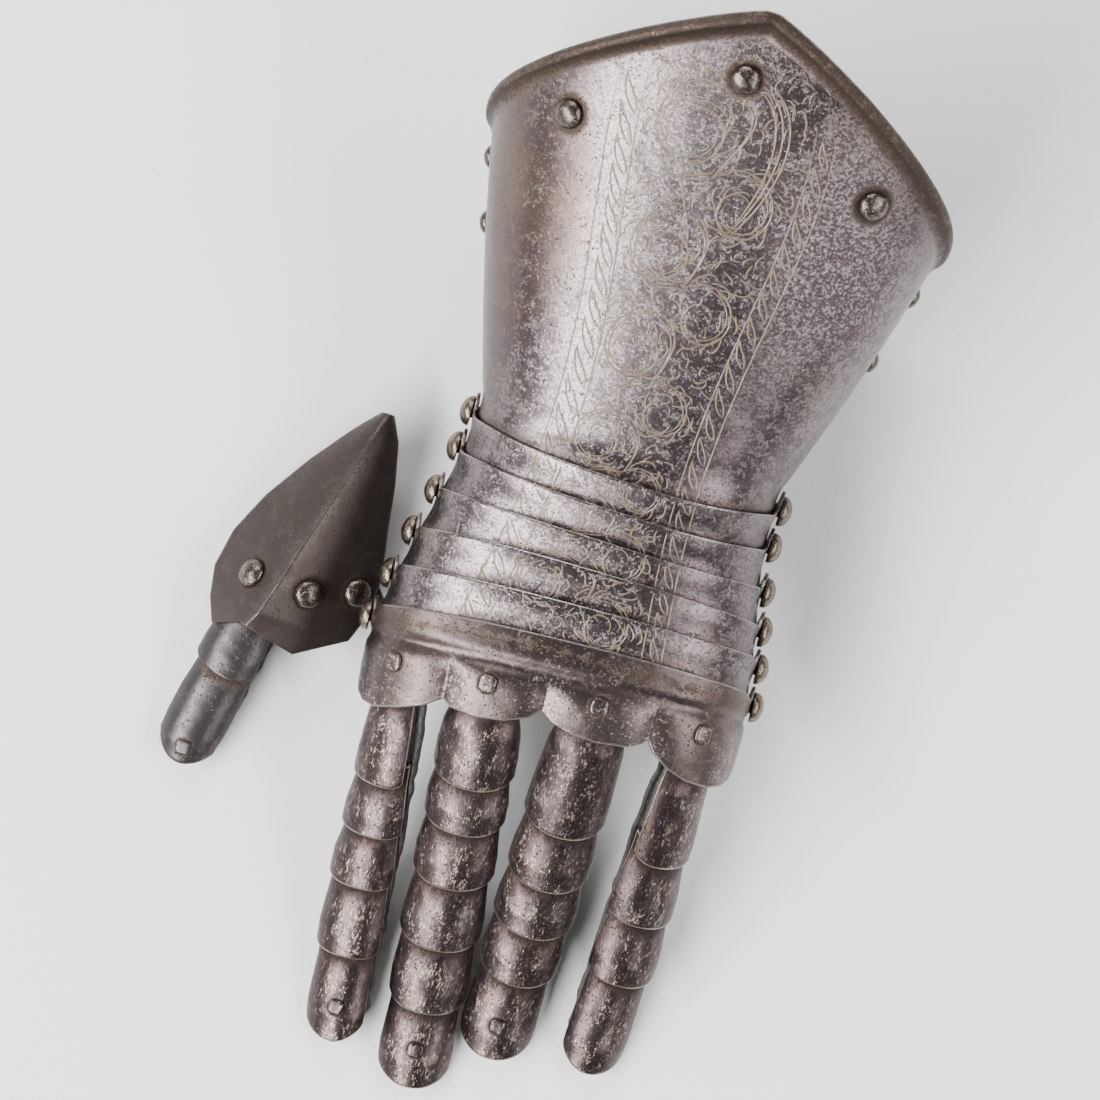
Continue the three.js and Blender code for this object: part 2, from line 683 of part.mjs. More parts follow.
// A point across a finger's arch: bend runs from -1 to 1, depth goes inwards.
function archPoint(line, s, bend, depth, half, arch) {
  const angle = bend * degrees(scaleHalfAngle);
  const { sideways, outward } = line.frame(s);
  const normalSide = Math.sin(angle) / half;
  const normalUp = Math.cos(angle) / arch;
  const size = Math.hypot(normalSide, normalUp);
  const side = half * Math.sin(angle) - depth * normalSide / size;
  const up = arch * (Math.cos(angle) - 1) - depth * normalUp / size;
  return line.at(s).addScaledVector(sideways, side).addScaledVector(outward, up);
}

// Pieces go a little deeper where they start under the plate above them.
function rootDepth(s) {
  return scaleRootDepth * step * (1 - ramp(s, 0, 0.07));
}

function tipTaper(s) {
  return 1 - 0.06 * ramp(s, 0.9, 1.04) - 0.1 * ramp(s, 0.55, 0.95);
}

// A round tip: how far the edge falls back at a share of the way from the middle to a side.
function tipFall(share) {
  const across = Math.sin(share * degrees(scaleHalfAngle)) / Math.sin(degrees(scaleHalfAngle));
  return tipRounding * (1 - Math.sqrt(Math.max(0, 1 - across * across)));
}

function fingerScale(finger, line, number) {
  const isTip = number === finger.ends.length - 1;
  const end = finger.ends[number];
  const before = number === 0 ? 0 : finger.ends[number - 1];
  const overlap = scaleOverlap / line.length;
  const rows = [
    { s: before - overlap, inset: step },
    { s: before, inset: step },
    ...(isTip ? [{ s: lerp(before, end, 0.4), inset: 0.4 * step }] : []),
    { s: isTip ? lerp(before, end, 0.7) : end - overlap, inset: 0 },
    { s: end, inset: 0 },
  ];
  const short = (side) => side - (number === 0 && side < 1 ? firstScaleShort : 0);
  const columns = 6;
  const surface = (depth) => (i, j) => {
    const share = lerp(-1, 1, i / columns);
    const bend = share * short(share < 0 ? finger.right : finger.left);
    const plain = (j === 0 ? hiddenRounding : 1) * finger.round * scaleRounding
      * Math.abs(share) ** finger.power;
    const s = rows[j].s - (isTip && j === rows.length - 1 ? tipFall(share) : plain) / line.length;
    const inset = rows[j].inset + rootDepth(s) + depth;
    return archPoint(line, s, bend, inset, line.half * tipTaper(s), scaleArch);
  };
  const wall = wallBetween(surface(0), surface(plateThickness), columns, rows.length - 1);
  if (!isTip || !finger.rivet) {
    return wall;
  }
  const spot = line.at(0.9);
  const place = standing(spot, line.frame(0.9).outward);
  return joined(wall, [placed(flatHead(flatRivetRadius, plateThickness * 1.8), place)]);
}

function leatherStrip(finger, line, start) {
  const end = 1 + finger.leather * leatherTipLength / line.length;
  const depth = 2 * plateThickness + plateGap + 2.5 * restGap;
  const rows = [0, 0.06, 0.13, 0.3, 0.48, 0.66, 0.84, 1];
  const columns = 5;
  const surface = (inset) => (i, j) => {
    const bend = lerp(-0.98, 0.98, i / columns);
    const s = lerp(start, end - tipFall(bend) / line.length, rows[j]);
    return archPoint(line, s, bend, depth + rootDepth(s) + inset, line.half * tipTaper(s), scaleArch);
  };
  return wallBetween(surface(0), surface(leatherThickness), columns, rows.length - 1);
}

// The thumb: a ridged cover, then two scales on a strip of leather.
function thumbLine() {
  const root = new THREE.Vector3(thumbX(-0.47), thumbY(0.93), thumbHalfWidth * 1.7);
  const length = thumbReach;
  const at = (s) => new THREE.Vector3(
    root.x - 0.19 * length * s,
    root.y - length * s,
    lerp(root.z, tipHeight, s) - 2 * Math.max(0, s - 0.9) * 6,
  );
  const frame = (s) => {
    const forward = at(s + 0.01).sub(at(s - 0.01)).normalize();
    const sideways = new THREE.Vector3().crossVectors(forward, new THREE.Vector3(0, 0, 1)).normalize();
    const outward = new THREE.Vector3().crossVectors(sideways, forward).normalize();
    return { forward, sideways, outward };
  };
  return { length, at, frame, half: thumbHalfWidth };
}

function thumbX(share) {
  return thumbPoint.across * knuckleHalfWidth + share * thumbCoverWidth;
}

function thumbY(share) {
  return thumbPoint.along * handLength - share * thumbCoverLength;
}

// across runs from -1 at the left edge through 0 on the ridge to 1 at the right edge.
function thumbCoverPoint(depth, row, across) {
  const k = Math.min(Math.floor(row), thumbCover.length - 2);
  const mix = (column) => lerp(thumbCover[k][column], thumbCover[k + 1][column], row - k);
  const share = Math.abs(across);
  const edgeX = across < 0 ? mix('left') : mix('right');
  const edgeZ = across < 0 ? mix('leftUp') : mix('rightUp');
  const x = thumbX(lerp(mix('ridge'), edgeX, share));
  const crown = 0.09 * share * (1 - share) * 4;
  const z = thumbHalfWidth * (lerp(mix('ridgeUp'), edgeZ, share) + crown);
  const hollow = 4 * Math.max(0, row - (thumbCover.length - 2)) * (1 - Math.abs(across + 0.2));
  const y = thumbY(mix('along')) + hollow;
  return new THREE.Vector3(x, y, z - depth * thumbSlant);
}

const thumbRivetSpots = [
  { name: 'thumb_rivet_1', row: 4.9, across: -0.42 },
  { name: 'thumb_rivet_2', row: 4.95, across: 0.33 },
  { name: 'thumb_rivet_3', row: 4.55, across: 0.8, tab: true },
];

function thumbRivetPlace(spot) {
  const surface = (a, b) => thumbCoverPoint(0, a, b);
  const below = surface(spot.row, spot.across).setZ(0);
  return standing(surface(spot.row, spot.across), outwardOf(surface, spot.row, spot.across, below));
}

function thumbCoverPlate() {
  const half = 4;
  const rows = thumbCover.length - 1;
  const surface = (depth) => (i, j) => thumbCoverPoint(depth, j, lerp(-1, 1, i / (2 * half)));
  const wall = wallBetween(surface(0), surface(plateThickness), 2 * half, rows);
  const hole = post(smallShankRadius + restGap, cutterLength, 8);
  return drilled(wall, thumbRivetSpots.map((spot) => placed(hole, thumbRivetPlace(spot))));
}

// The thumb's tab: from under its third rivet to the inside of the knuckle plate's skirt.
function thumbTab() {
  const spot = thumbRivetSpots[2];
  const below = (across) => thumbCoverPoint(plateThickness + 2.5 * restGap, spot.row, across);
  const end = knucklePoint(plateThickness + restGap, -0.985, -0.1, -0.42 * knucklePlateLength);
  const lip = below(1).add(new THREE.Vector3(0, 0, -restGap));
  const turn = new THREE.Vector3(end.x, lerp(lip.y, end.y, 0.6), lip.z + leatherThickness);
  const route = new THREE.CatmullRomCurve3([below(0.66), below(0.86), lip, turn, end]);
  const surface = (depth) => (i, j) => {
    const point = route.getPointAt(i / 7);
    const tangent = route.getTangentAt(i / 7);
    const normal = new THREE.Vector3(tangent.z, 0, -tangent.x).normalize();
    point.addScaledVector(normal, depth);
    return point.setY(point.y + lerp(tabWidth / 2, -tabWidth / 2, j / 2));
  };
  const wall = wallBetween(surface(0), surface(leatherThickness), 7, 2);
  const hole = post(smallShankRadius + 2 * restGap, cutterLength, 8);
  return drilled(wall, [placed(hole, thumbRivetPlace(spot))]);
}

function build() {
  const body = new THREE.Group();
  body.add(finished('cuff_plate', cuffPlate(), 'steel'));
  body.add(finished('inner_cuff_plate', innerCuffPlate(), 'steel'));
  for (const [list, grip] of [[rimRivets, plateThickness], [cuffSideRivets, 2 * plateThickness + plateGap]]) {
    for (const rivet of list) {
      const radius = list === rimRivets ? rimRivetRadius : rimRivetRadius * 0.8;
      const shape = rivetShape(radius, rimRivetHeight, smallShankRadius, grip, 8);
      const mesh = finished(rivet.name, shape, 'rivet');
      mesh.applyMatrix4(rivetOnCuff(rivet.angle, rivet.y));
      body.add(mesh);
    }
  }
  for (let number = 1; number <= lameCount; number++) {
    body.add(finished(`lame_${number}`, lame(number), 'steel'));
  }
  pivots.forEach((pivot, k) => {
    for (const side of [-1, 1]) {
      const grip = 2 * plateThickness + plateGap;
      const shape = rivetShape(pivotHeadRadius, pivotHeadHeight, pivotShankRadius, grip, 8);
      const mesh = finished(`lame_rivet_${k + 1}_${side < 0 ? 'left' : 'right'}`, shape, 'rivet');
      mesh.applyMatrix4(rivetPlace(pivot, side, 0));
      body.add(mesh);
    }
  });
  body.add(finished('knuckle_plate', knucklePlate(), 'steel'));
  for (const finger of fingers) {
    const line = fingerLine(finger);
    finger.ends.forEach((end, k) => {
      body.add(finished(`${finger.name}_scale_${k + 1}`, fingerScale(finger, line, k), 'steel'));
    });
    const strip = leatherStrip(finger, line, -leatherRootLength / line.length);
    body.add(finished(`${finger.name}_leather`, strip, 'leather'));
  }
  const line = thumbLine();
  body.add(finished('thumb_cover', thumbCoverPlate(), 'thumbSteel'));
  thumb.ends.forEach((end, k) => {
    body.add(finished(`thumb_scale_${k + 1}`, fingerScale(thumb, line, k), 'thumbSteel'));
  });
  body.add(finished('thumb_leather', leatherStrip(thumb, line, -0.1), 'leather'));
  for (const spot of thumbRivetSpots) {
    const held = spot.tab ? leatherThickness + 7 * restGap : 0;
    const grip = plateThickness * thumbSlant + held;
    const shape = rivetShape(rimRivetRadius, rimRivetHeight, smallShankRadius, grip, 8);
    const mesh = finished(spot.name, shape, 'rivet');
    mesh.applyMatrix4(thumbRivetPlace(spot));
    body.add(mesh);
  }
  body.add(finished('thumb_tab', thumbTab(), 'leather'));
  return body;
}

// The origin is the middle of the whole piece's box, on the surface that it lies on.
const gauntlet = new THREE.Group();
const body = build();
gauntlet.add(body);
gauntlet.updateMatrixWorld(true);
const box = new THREE.Box3().setFromObject(body, true);
const middle = box.getCenter(new THREE.Vector3());
body.position.set(-middle.x, -middle.y, -box.min.z);
gauntlet.updateMatrixWorld(true);

export default gauntlet;
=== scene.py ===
import json
import math
import bpy
import numpy as np
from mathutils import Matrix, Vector


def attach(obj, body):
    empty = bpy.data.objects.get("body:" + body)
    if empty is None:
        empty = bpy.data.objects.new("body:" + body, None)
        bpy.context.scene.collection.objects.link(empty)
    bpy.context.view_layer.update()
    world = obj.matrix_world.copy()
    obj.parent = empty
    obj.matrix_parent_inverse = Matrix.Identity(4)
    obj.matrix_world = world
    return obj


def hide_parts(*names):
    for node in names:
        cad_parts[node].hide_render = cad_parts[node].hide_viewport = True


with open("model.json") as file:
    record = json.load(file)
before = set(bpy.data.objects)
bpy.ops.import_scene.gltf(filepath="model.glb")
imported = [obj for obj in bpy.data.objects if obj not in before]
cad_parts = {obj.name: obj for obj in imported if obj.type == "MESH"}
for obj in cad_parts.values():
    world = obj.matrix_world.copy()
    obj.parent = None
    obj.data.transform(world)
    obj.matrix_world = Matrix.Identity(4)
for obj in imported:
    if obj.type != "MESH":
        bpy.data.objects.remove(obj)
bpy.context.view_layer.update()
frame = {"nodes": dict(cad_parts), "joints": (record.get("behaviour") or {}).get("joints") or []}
print("frame loaded")

# Sizes are in millimetres from the midpoint of the wrist rivets, on the floor. The wrist hinge says
# where that point lies in the frame.
wristHinge = frame["joints"][0]["pos_m"]
wristMiddle = np.array([wristHinge[0], wristHinge[1], 0.0])
toMetres = 0.001

stock = {"plate": 1.0, "gap": 0.5, "rest": 0.3, "leather": 1.6}
step = stock["plate"] + stock["gap"]
hand = {"wristHalf": 47.5, "knuckleHalf": 57.7, "length": 62.1, "pivotHeight": 28.0, "arch": 36.0,
        "ear": 5.8, "overlap": 7.5, "power": 2.3, "lowerEar": 0.86, "earStart": 0.6, "earEnd": 2.2}
lameCount = 5
lamePitch = hand["length"] / lameCount
# Rivet lines: place along the hand, widening, height, arch, top edge, side edge, fan in degrees
rivetLines = [
    (0.00, 0.00, 1.000, 1.000, -0.180, -0.04, 0.0),
    (0.18, 0.05, 0.970, 0.965, -0.120, -0.03, 0.0),
    (0.40, 0.28, 0.940, 0.935, 0.000, 0.03, 0.6),
    (0.60, 0.55, 0.925, 0.930, 0.100, 0.04, 1.8),
    (0.80, 0.79, 0.915, 0.935, 0.140, 0.09, 3.3),
    (1.00, 1.00, 0.900, 0.945, 0.180, 0.10, 4.4),
]


def lerp(a, b, t):
    return a + (b - a) * t


def ramp(x, low, high):  # a smooth step from 0 at low to 1 at high
    t = np.clip((x - low) / (high - low), 0.0, 1.0)
    return t * t * (3 - 2 * t)


def point(x, y, z):
    return np.stack(np.broadcast_arrays(x, y, z), -1).astype(float)


def unit(v):
    return v / np.maximum(np.linalg.norm(v, axis=-1, keepdims=True), 1e-12)


def pivotOf(row):
    along, widen, lift, arch, topEdge, sideEdge, fan = row
    return {"y": -along * hand["length"], "z": lift * hand["pivotHeight"],
            "half": lerp(hand["wristHalf"], hand["knuckleHalf"], widen), "arch": arch * hand["arch"],
            "top": topEdge * hand["arch"], "side": sideEdge * hand["arch"], "fan": math.radians(fan)}


pivots = [pivotOf(row) for row in rivetLines]


def fromPivot(pivot, x, y, z):
    c, s = math.cos(pivot["fan"]), math.sin(pivot["fan"])
    return point(x * c - y * s, pivot["y"] + x * s + y * c, pivot["z"] + z)


def shares(angle):  # superellipse: side = |cos|^(2/n) and rise = |sin|^(2/n), with their signs
    c, s = np.cos(np.radians(angle)), np.sin(np.radians(angle))
    e = 2 / hand["power"]
    return np.sign(c) * np.abs(c) ** e, np.sign(s) * np.abs(s) ** e


def riseAt(side):
    n = hand["power"]
    return np.maximum(0, 1 - np.abs(side) ** n) ** (1 / n)


# A barrel round the rivet line: height = rise * arch * sqrt(1 - (forward / arch)^2) and
# out = half * (1 - (distance from the line / arch)^n)^(1/n), so turning plates keep their distance.
def barrel(pivot, inset, side, rise, forward):
    n = hand["power"]
    arch = pivot["arch"] - inset
    height = rise * arch * np.sqrt(np.maximum(0, 1 - (forward / arch) ** 2))
    reach = np.minimum(1, np.hypot(height, forward) / arch)
    out = (pivot["half"] - inset) * (1 - reach ** n) ** (1 / n)
    return fromPivot(pivot, np.sign(side) * out, forward, height)


def edgeBlend(pivot, rise, ear, main):  # the round ear at the rivet goes over into the main edge
    height = rise * pivot["arch"] / hand["ear"]
    return lerp(ear, main, ramp(height, hand["earStart"], hand["earEnd"]))


def upperEdge(pivot, side, rise):
    ear = np.sqrt(np.maximum(0, hand["ear"] ** 2 - (rise * pivot["arch"]) ** 2))
    return edgeBlend(pivot, rise, ear, lerp(pivot["top"], pivot["side"], np.abs(side) ** 3))


def lowerEdge(pivot, side, rise):
    radius = hand["ear"] * hand["lowerEar"]
    ear = -np.sqrt(np.maximum(0, radius ** 2 - (rise * pivot["arch"]) ** 2))
    main = lerp(pivot["top"], pivot["side"], np.abs(side) ** 3) - hand["overlap"]
    return edgeBlend(pivot, rise, ear, main)


def lameReach(upper, lower, side, rise):
    across = side * upper["half"]
    shift = lower["y"] - upper["y"] + across * (math.tan(lower["fan"]) - math.tan(upper["fan"]))
    return shift, upperEdge(upper, side, rise), shift + lowerEdge(lower, side, rise)


# A lame blends the barrels of its two rivet lines, and sinks by one plate's step on the way down.
def lamePoint(upper, lower, depth, side, rise, share):
    shift, top, bottom = lameReach(upper, lower, side, rise)
    forward = lerp(top, bottom, share)
    start = (top + lowerEdge(upper, side, rise)) / 2
    end = (bottom + shift + upperEdge(lower, side, rise)) / 2
    travel = (forward - start) / (end - start)
    inset = step * travel + depth
    near = barrel(upper, inset, side, rise, forward)
    far = barrel(lower, inset, side, rise, forward - shift)
    return lerp(near, far, ramp(travel, 0, 1)[..., None])


cuff = {"length": 131.4, "sideLength": 86.8, "rimHalf": 69.0, "rimTop": 110.0, "rimWaist": 45.0,
        "roll": 2.3, "neck": 10.0, "flareBow": 0.2, "topBow": 1.05, "peak": 0.17, "peakPower": 2.5,
        "palmFall": 8.0}


def cuffHalf(y):  # half width of the flare, eased in near the wrist and bowed outwards
    start = cuff["neck"] / 2
    run = np.maximum(0, y - start) + 0.3 * start * np.exp(-np.abs(y / start - 1) / 0.8)
    share = run / (cuff["sideLength"] - start)
    flare = cuff["rimHalf"] - hand["wristHalf"] + step
    return hand["wristHalf"] - step + flare * share * (1 + cuff["flareBow"] * (1 - share))


def cuffTop(y):
    wristTop = hand["pivotHeight"] + hand["arch"] - step
    return lerp(wristTop, cuff["rimTop"], (np.maximum(0, y) / cuff["length"]) ** cuff["topBow"])


def cuffWaist(y):
    return lerp(hand["pivotHeight"], cuff["rimWaist"], y / cuff["sideLength"])


def rimPlace(angle):  # the pointed rim: it falls with |cos| from its peak to the sides
    c, s = np.cos(np.radians(angle)), np.sin(np.radians(angle))
    peak = cuff["peak"] * np.maximum(0, 1 - s) ** cuff["peakPower"]
    fall = cuff["length"] - cuff["sideLength"]
    above = cuff["length"] - fall * ((1 - cuff["peak"]) * np.abs(c) + peak)
    return np.where(s < 0, cuff["sideLength"] + cuff["palmFall"] * s, above)


def cuffFlare(inset, side, rise, y):
    waist = cuffWaist(y)
    span = np.where(rise > 0, cuffTop(y) - waist, waist + step)
    return point(side * (cuffHalf(y) - inset), y, waist + rise * (span - inset))


# The cuff is the flare, which turns into the wrist's barrel under the first lame.
def cuffPoint(inset, angle, y):
    side, rise = shares(angle)
    pivot = pivots[0]
    centre = (upperEdge(pivot, side, rise) + lowerEdge(pivot, side, rise)) / 2
    flareStart = cuff["neck"] * lerp(1, 0.8, np.maximum(0, rise))
    travel = (flareStart - y) / (flareStart - centre)
    extra = np.maximum(0, centre - y) * step / lamePitch
    tight = barrel(pivot, step + extra + inset, side, rise, y)
    return lerp(cuffFlare(inset, side, rise, y), tight, ramp(travel, 0, 1)[..., None])


def cuffWristEdge(angle):
    side, rise = shares(angle)
    fade = np.maximum(0, -rise * pivots[0]["arch"] - hand["ear"])
    return lowerEdge(pivots[0], side, rise) + fade


def outwardOf(surface, a, b, inside, d=0.05):  # cross product of the two differences, turned outwards
    along = surface(a + d, b) - surface(a - d, b)
    across = surface(a, b + d) - surface(a, b - d)
    n = unit(np.cross(along, across))
    return n * np.sign(np.sum(n * (surface(a, b) - inside), -1, keepdims=True))


def cuffOutward(angle, y):
    return outwardOf(lambda a, b: cuffPoint(0.0, a, b), angle, y, point(0.0, y, cuffWaist(y)))


knuckle = {"length": 25.6, "drop": 7.8, "boss": 2.2, "skirt": 0.4, "dropPower": 1.6, "spread": 0.12,
           "creases": (-0.555, -0.04, 0.53),
           "rivets": ((-0.81, 0.44), (-0.33, 0.42), (0.235, 0.38), (0.77, 0.42))}
# The lobed edge: place across as a share of the half width, and down as a share of the length
knuckleEdge = np.array([
    (-0.945, 0.95), (-0.88, 0.99), (-0.75, 0.93), (-0.64, 0.84), (-0.555, 0.70), (-0.50, 0.78),
    (-0.36, 0.82), (-0.21, 0.78), (-0.10, 0.69), (-0.04, 0.57), (0.02, 0.67), (0.12, 0.75),
    (0.26, 0.78), (0.42, 0.75), (0.50, 0.68), (0.53, 0.61), (0.57, 0.75), (0.65, 0.89),
    (0.75, 0.98), (0.87, 1.00), (0.945, 0.95)])


def knuckleEdgeDown(across):
    return knuckle["length"] * np.interp(across, knuckleEdge[:, 0], knuckleEdge[:, 1])


def knuckleLower(side, rise):
    return -lerp(knuckle["length"] * knuckle["skirt"], knuckleEdgeDown(side), ramp(rise, -0.2, 0.4))


# Proud of the plain form: a flute under the upper edge, and a boss between each pair of creases.
def knuckleRelief(side, down):
    bounds = np.array([-1.05, *knuckle["creases"], 1.05])
    cell = np.clip(np.searchsorted(bounds, side) - 1, 0, 3)
    middle, half = (bounds[cell] + bounds[cell + 1]) / 2, (bounds[cell + 1] - bounds[cell]) / 2
    roundness = 1 - np.abs((side - middle) / half) ** 2.4
    share = down / knuckle["length"]
    sink = 0.5 * np.exp(-((share - 0.16) / 0.09) ** 2)
    return knuckle["boss"] * (ramp(share, 0.15, 0.45) * (roundness - 0.45) - sink)


def knucklePoint(inset, side, rise, forward):
    pivot = pivots[lameCount]
    down = np.maximum(0, -forward)
    start = (upperEdge(pivot, side, rise) + lowerEdge(pivot, side, rise)) / 2
    near = barrel(pivot, inset + step * np.minimum(0, (start - forward) / lamePitch), side, rise, forward)
    drop = knuckle["drop"] * (down / knuckle["length"]) ** knuckle["dropPower"]
    relief = knuckleRelief(side, down)
    out = pivot["half"] - inset + relief - knuckle["spread"] * drop
    up = pivot["arch"] - inset + relief - drop
    far = fromPivot(pivot, side * out, forward, rise * up)
    return lerp(near, far, ramp((start - forward) / hand["ear"], 0.09, 0.95)[..., None])


finger = {"reach": 136.0, "half": 12.6, "arch": 9.0, "tip": 7.7, "overlap": 5.5, "round": 8.0,
          "hiddenRound": 0.5, "tipRound": 11.5, "spread": 78.0, "firstShort": 0.15, "rootDepth": 0.9,
          "leatherRoot": 8.0, "leatherTip": 2.0}
# Round: how far a scale's edge falls back at its sides, power: how square its corners are, right and
# left: how far round the finger it reaches, leather: how far the strip stands past the tip
fingers = {
    "index": {"root": -0.80, "tip": -0.53, "reach": 0.955, "wide": 0.90, "roll": 8,
              "ends": (0.24, 0.39, 0.545, 0.75, 1), "round": 0.5, "power": 4, "right": 0.72,
              "left": 1, "leather": 0.4, "rivet": True},
    "middle": {"root": -0.325, "tip": -0.07, "reach": 1.0, "wide": 1.0, "roll": 0,
               "ends": (0.20, 0.32, 0.465, 0.63, 0.80, 1), "round": 1, "power": 2.4, "right": 1,
               "left": 1, "leather": -0.7, "rivet": True},
    "ring": {"root": 0.235, "tip": 0.275, "reach": 0.885, "wide": 1.0, "roll": 0,
             "ends": (0.31, 0.475, 0.62, 0.77, 1), "round": 1.05, "power": 2.2, "right": 1,
             "left": 1, "leather": -0.7, "rivet": True},
    "little": {"root": 0.79, "tip": 0.785, "reach": 0.85, "wide": 0.90, "roll": -9,
               "ends": (0.30, 0.50, 0.70, 1), "round": 0.75, "power": 3, "right": 1, "left": 0.8,
               "leather": -0.7, "rivet": False},
}
thumb = {"reach": 48.0, "half": 10.6, "coverLength": 78.0, "coverWidth": 42.0, "slant": 1.25,
         "pointAcross": -1.24, "pointAlong": -0.10, "ends": (0.4, 1), "round": 0.65, "power": 2.8,
         "right": 0.85, "left": 1, "leather": 0.3, "rivet": True, "hollow": 4.0, "lean": 0.19}


def knuckleSpot(side, forward):
    side = np.asarray(side, float)
    return knucklePoint(0.0, side, riseAt(side), np.asarray(forward, float))


def knuckleOutward(side, forward):
    inside = fromPivot(pivots[lameCount], 0.0, forward, 0.0)
    return outwardOf(knuckleSpot, side, forward, inside, 0.01)


def turned(v, axis, angle):  # a vector at right angles to the axis, turned about it
    return v * np.cos(angle)[..., None] + np.cross(axis, v) * np.sin(angle)[..., None]


def framesOn(at, s, d, roll):  # sideways and outward at s, rolled about the way forward
    forward = unit(at(s + d) - at(s - d))
    sideways = unit(np.cross(forward, [0.0, 0.0, 1.0]))
    outward = unit(np.cross(sideways, forward))
    return turned(sideways, forward, -roll), turned(outward, forward, -roll)


def fingerLine(f):
    startDown = knuckleEdgeDown(f["root"]) - 1
    root = knuckleSpot(f["root"], -startDown)
    plateUp = knuckleOutward(f["root"], -startDown)
    rootRoll = math.atan2(plateUp[0], plateUp[2])
    tip = np.array([f["tip"] * hand["knuckleHalf"], pivots[lameCount]["y"] - f["reach"] * finger["reach"],
                    finger["tip"]])
    length = root[1] - tip[1]

    def at(s):
        fall = (root[2] - tip[2]) * np.maximum(0, 1 - s) ** 1.25
        dip = 2 * np.maximum(0, s - 0.93) * finger["tip"]
        return point(lerp(root[0], tip[0], s), lerp(root[1], tip[1], s), tip[2] + fall - dip)

    def sides(s):
        return framesOn(at, s, 0.005, lerp(rootRoll, math.radians(-f["roll"]), ramp(s, 0, 0.8)))

    return {"length": length, "at": at, "sides": sides, "half": f["wide"] * finger["half"]}


def thumbX(share):
    return thumb["pointAcross"] * hand["knuckleHalf"] + share * thumb["coverWidth"]


def thumbY(share):
    return thumb["pointAlong"] * hand["length"] - share * thumb["coverLength"]


def thumbLine():
    root = np.array([thumbX(-0.47), thumbY(0.93), thumb["half"] * 1.7])
    length = thumb["reach"]

    def at(s):
        dip = 12 * np.maximum(0, s - 0.9)
        return point(root[0] - thumb["lean"] * length * s, root[1] - length * s,
                     lerp(root[2], finger["tip"], s) - dip)

    def sides(s):
        return framesOn(at, s, 0.01, np.zeros_like(s))

    return {"length": length, "at": at, "sides": sides, "half": thumb["half"]}


# Across a finger the section is an ellipse arc, and depth goes inwards along the ellipse's normal.
def archPoint(line, s, bend, depth):
    half, arch = line["half"] * tipTaper(s), finger["arch"]
    angle = bend * math.radians(finger["spread"])
    nSide, nUp = np.sin(angle) / half, np.cos(angle) / arch
    size = np.hypot(nSide, nUp)
    sideways, outward = line["sides"](s)
    side = half * np.sin(angle) - depth * nSide / size
    up = arch * (np.cos(angle) - 1) - depth * nUp / size
    return line["at"](s) + sideways * side[..., None] + outward * up[..., None]


def tipTaper(s):
    return 1 - 0.06 * ramp(s, 0.9, 1.04) - 0.1 * ramp(s, 0.55, 0.95)


def tipFall(share):  # a round tip: the edge falls back by a quarter ellipse from the middle to a side
    spread = math.radians(finger["spread"])
    across = np.sin(share * spread) / math.sin(spread)
    return finger["tipRound"] * (1 - np.sqrt(np.maximum(0, 1 - across ** 2)))


def rootDepth(s):
    return finger["rootDepth"] * step * (1 - ramp(s, 0, 0.07))


# The thumb cover from its point: along, then left, ridge and right places, then their heights
thumbCover = np.array([
    (0.03, -0.05, 0.00, 0.05, 1.50, 1.75, 1.60),
    (0.12, -0.20, -0.04, 0.13, 1.30, 1.95, 1.50),
    (0.28, -0.43, -0.11, 0.20, 1.00, 2.15, 1.35),
    (0.46, -0.65, -0.20, 0.25, 0.75, 2.30, 1.20),
    (0.63, -0.80, -0.29, 0.31, 0.55, 2.40, 1.10),
    (0.78, -0.85, -0.36, 0.30, 0.60, 2.45, 1.05),
    (0.90, -0.81, -0.43, 0.22, 0.85, 2.40, 1.15),
    (1.00, -0.74, -0.49, -0.12, 1.10, 2.25, 1.60)])


def coverColumn(row, column):
    return np.interp(row, np.arange(len(thumbCover)), thumbCover[:, column])


# Two slopes meet on the cover's ridge, each crowned by a parabola.
def thumbCoverPoint(depth, row, across):
    share = np.abs(across)
    edgeX = np.where(across < 0, coverColumn(row, 1), coverColumn(row, 3))
    edgeZ = np.where(across < 0, coverColumn(row, 4), coverColumn(row, 6))
    x = thumbX(lerp(coverColumn(row, 2), edgeX, share))
    z = thumb["half"] * (lerp(coverColumn(row, 5), edgeZ, share) + 0.36 * share * (1 - share))
    hollow = thumb["hollow"] * np.maximum(0, row - (len(thumbCover) - 2)) * (1 - np.abs(across + 0.2))
    return point(x, thumbY(coverColumn(row, 0)) + hollow, z - depth * thumb["slant"])


print("shapes ready")


# How many columns and rows each grid has
grids = {"innerCuff": (100, 60), "lame": (220, 26), "knuckle": (300, 90), "skirt": 16, "scale": (44, 41),
         "strip": (120, 41), "thumbCover": (150, 81)}
# Hammer marks: how high, how wide, and the seed of their noise
hammer = {"cuff": (0.12, 17.0, 3), "lame": (0.03, 14.0, 20), "knuckle": (0.12, 7.0, 31),
          "thumb": (0.08, 8.0, 51), "scale": (0.10, 6.5, 80)}
latticeHash = np.array([374761393, 668265263, 2147483647])


# Smooth random values from -1 to 1 on a lattice of the given size: the eight corners of each cell
# get a hashed value, mixed by smooth steps along x, y and z.
def valueNoise(p, size, seed):
    q = p / size
    cell = np.floor(q).astype(np.int64)
    t = q - cell
    t = t * t * (3 - 2 * t)
    total = np.zeros(p.shape[:-1])
    for corner in range(8):
        offset = np.array([corner & 1, (corner >> 1) & 1, (corner >> 2) & 1])
        h = (np.sum((cell + offset) * latticeHash, -1) + seed * 974711) & 0xFFFFFFFF
        h = ((h ^ (h >> 13)) * 1274126177) & 0xFFFFFFFF
        h = ((h ^ (h >> 16)) & 0xFFFF) / 32767.5 - 1
        total += h * np.prod(np.where(offset == 1, t, 1 - t), -1)
    return total


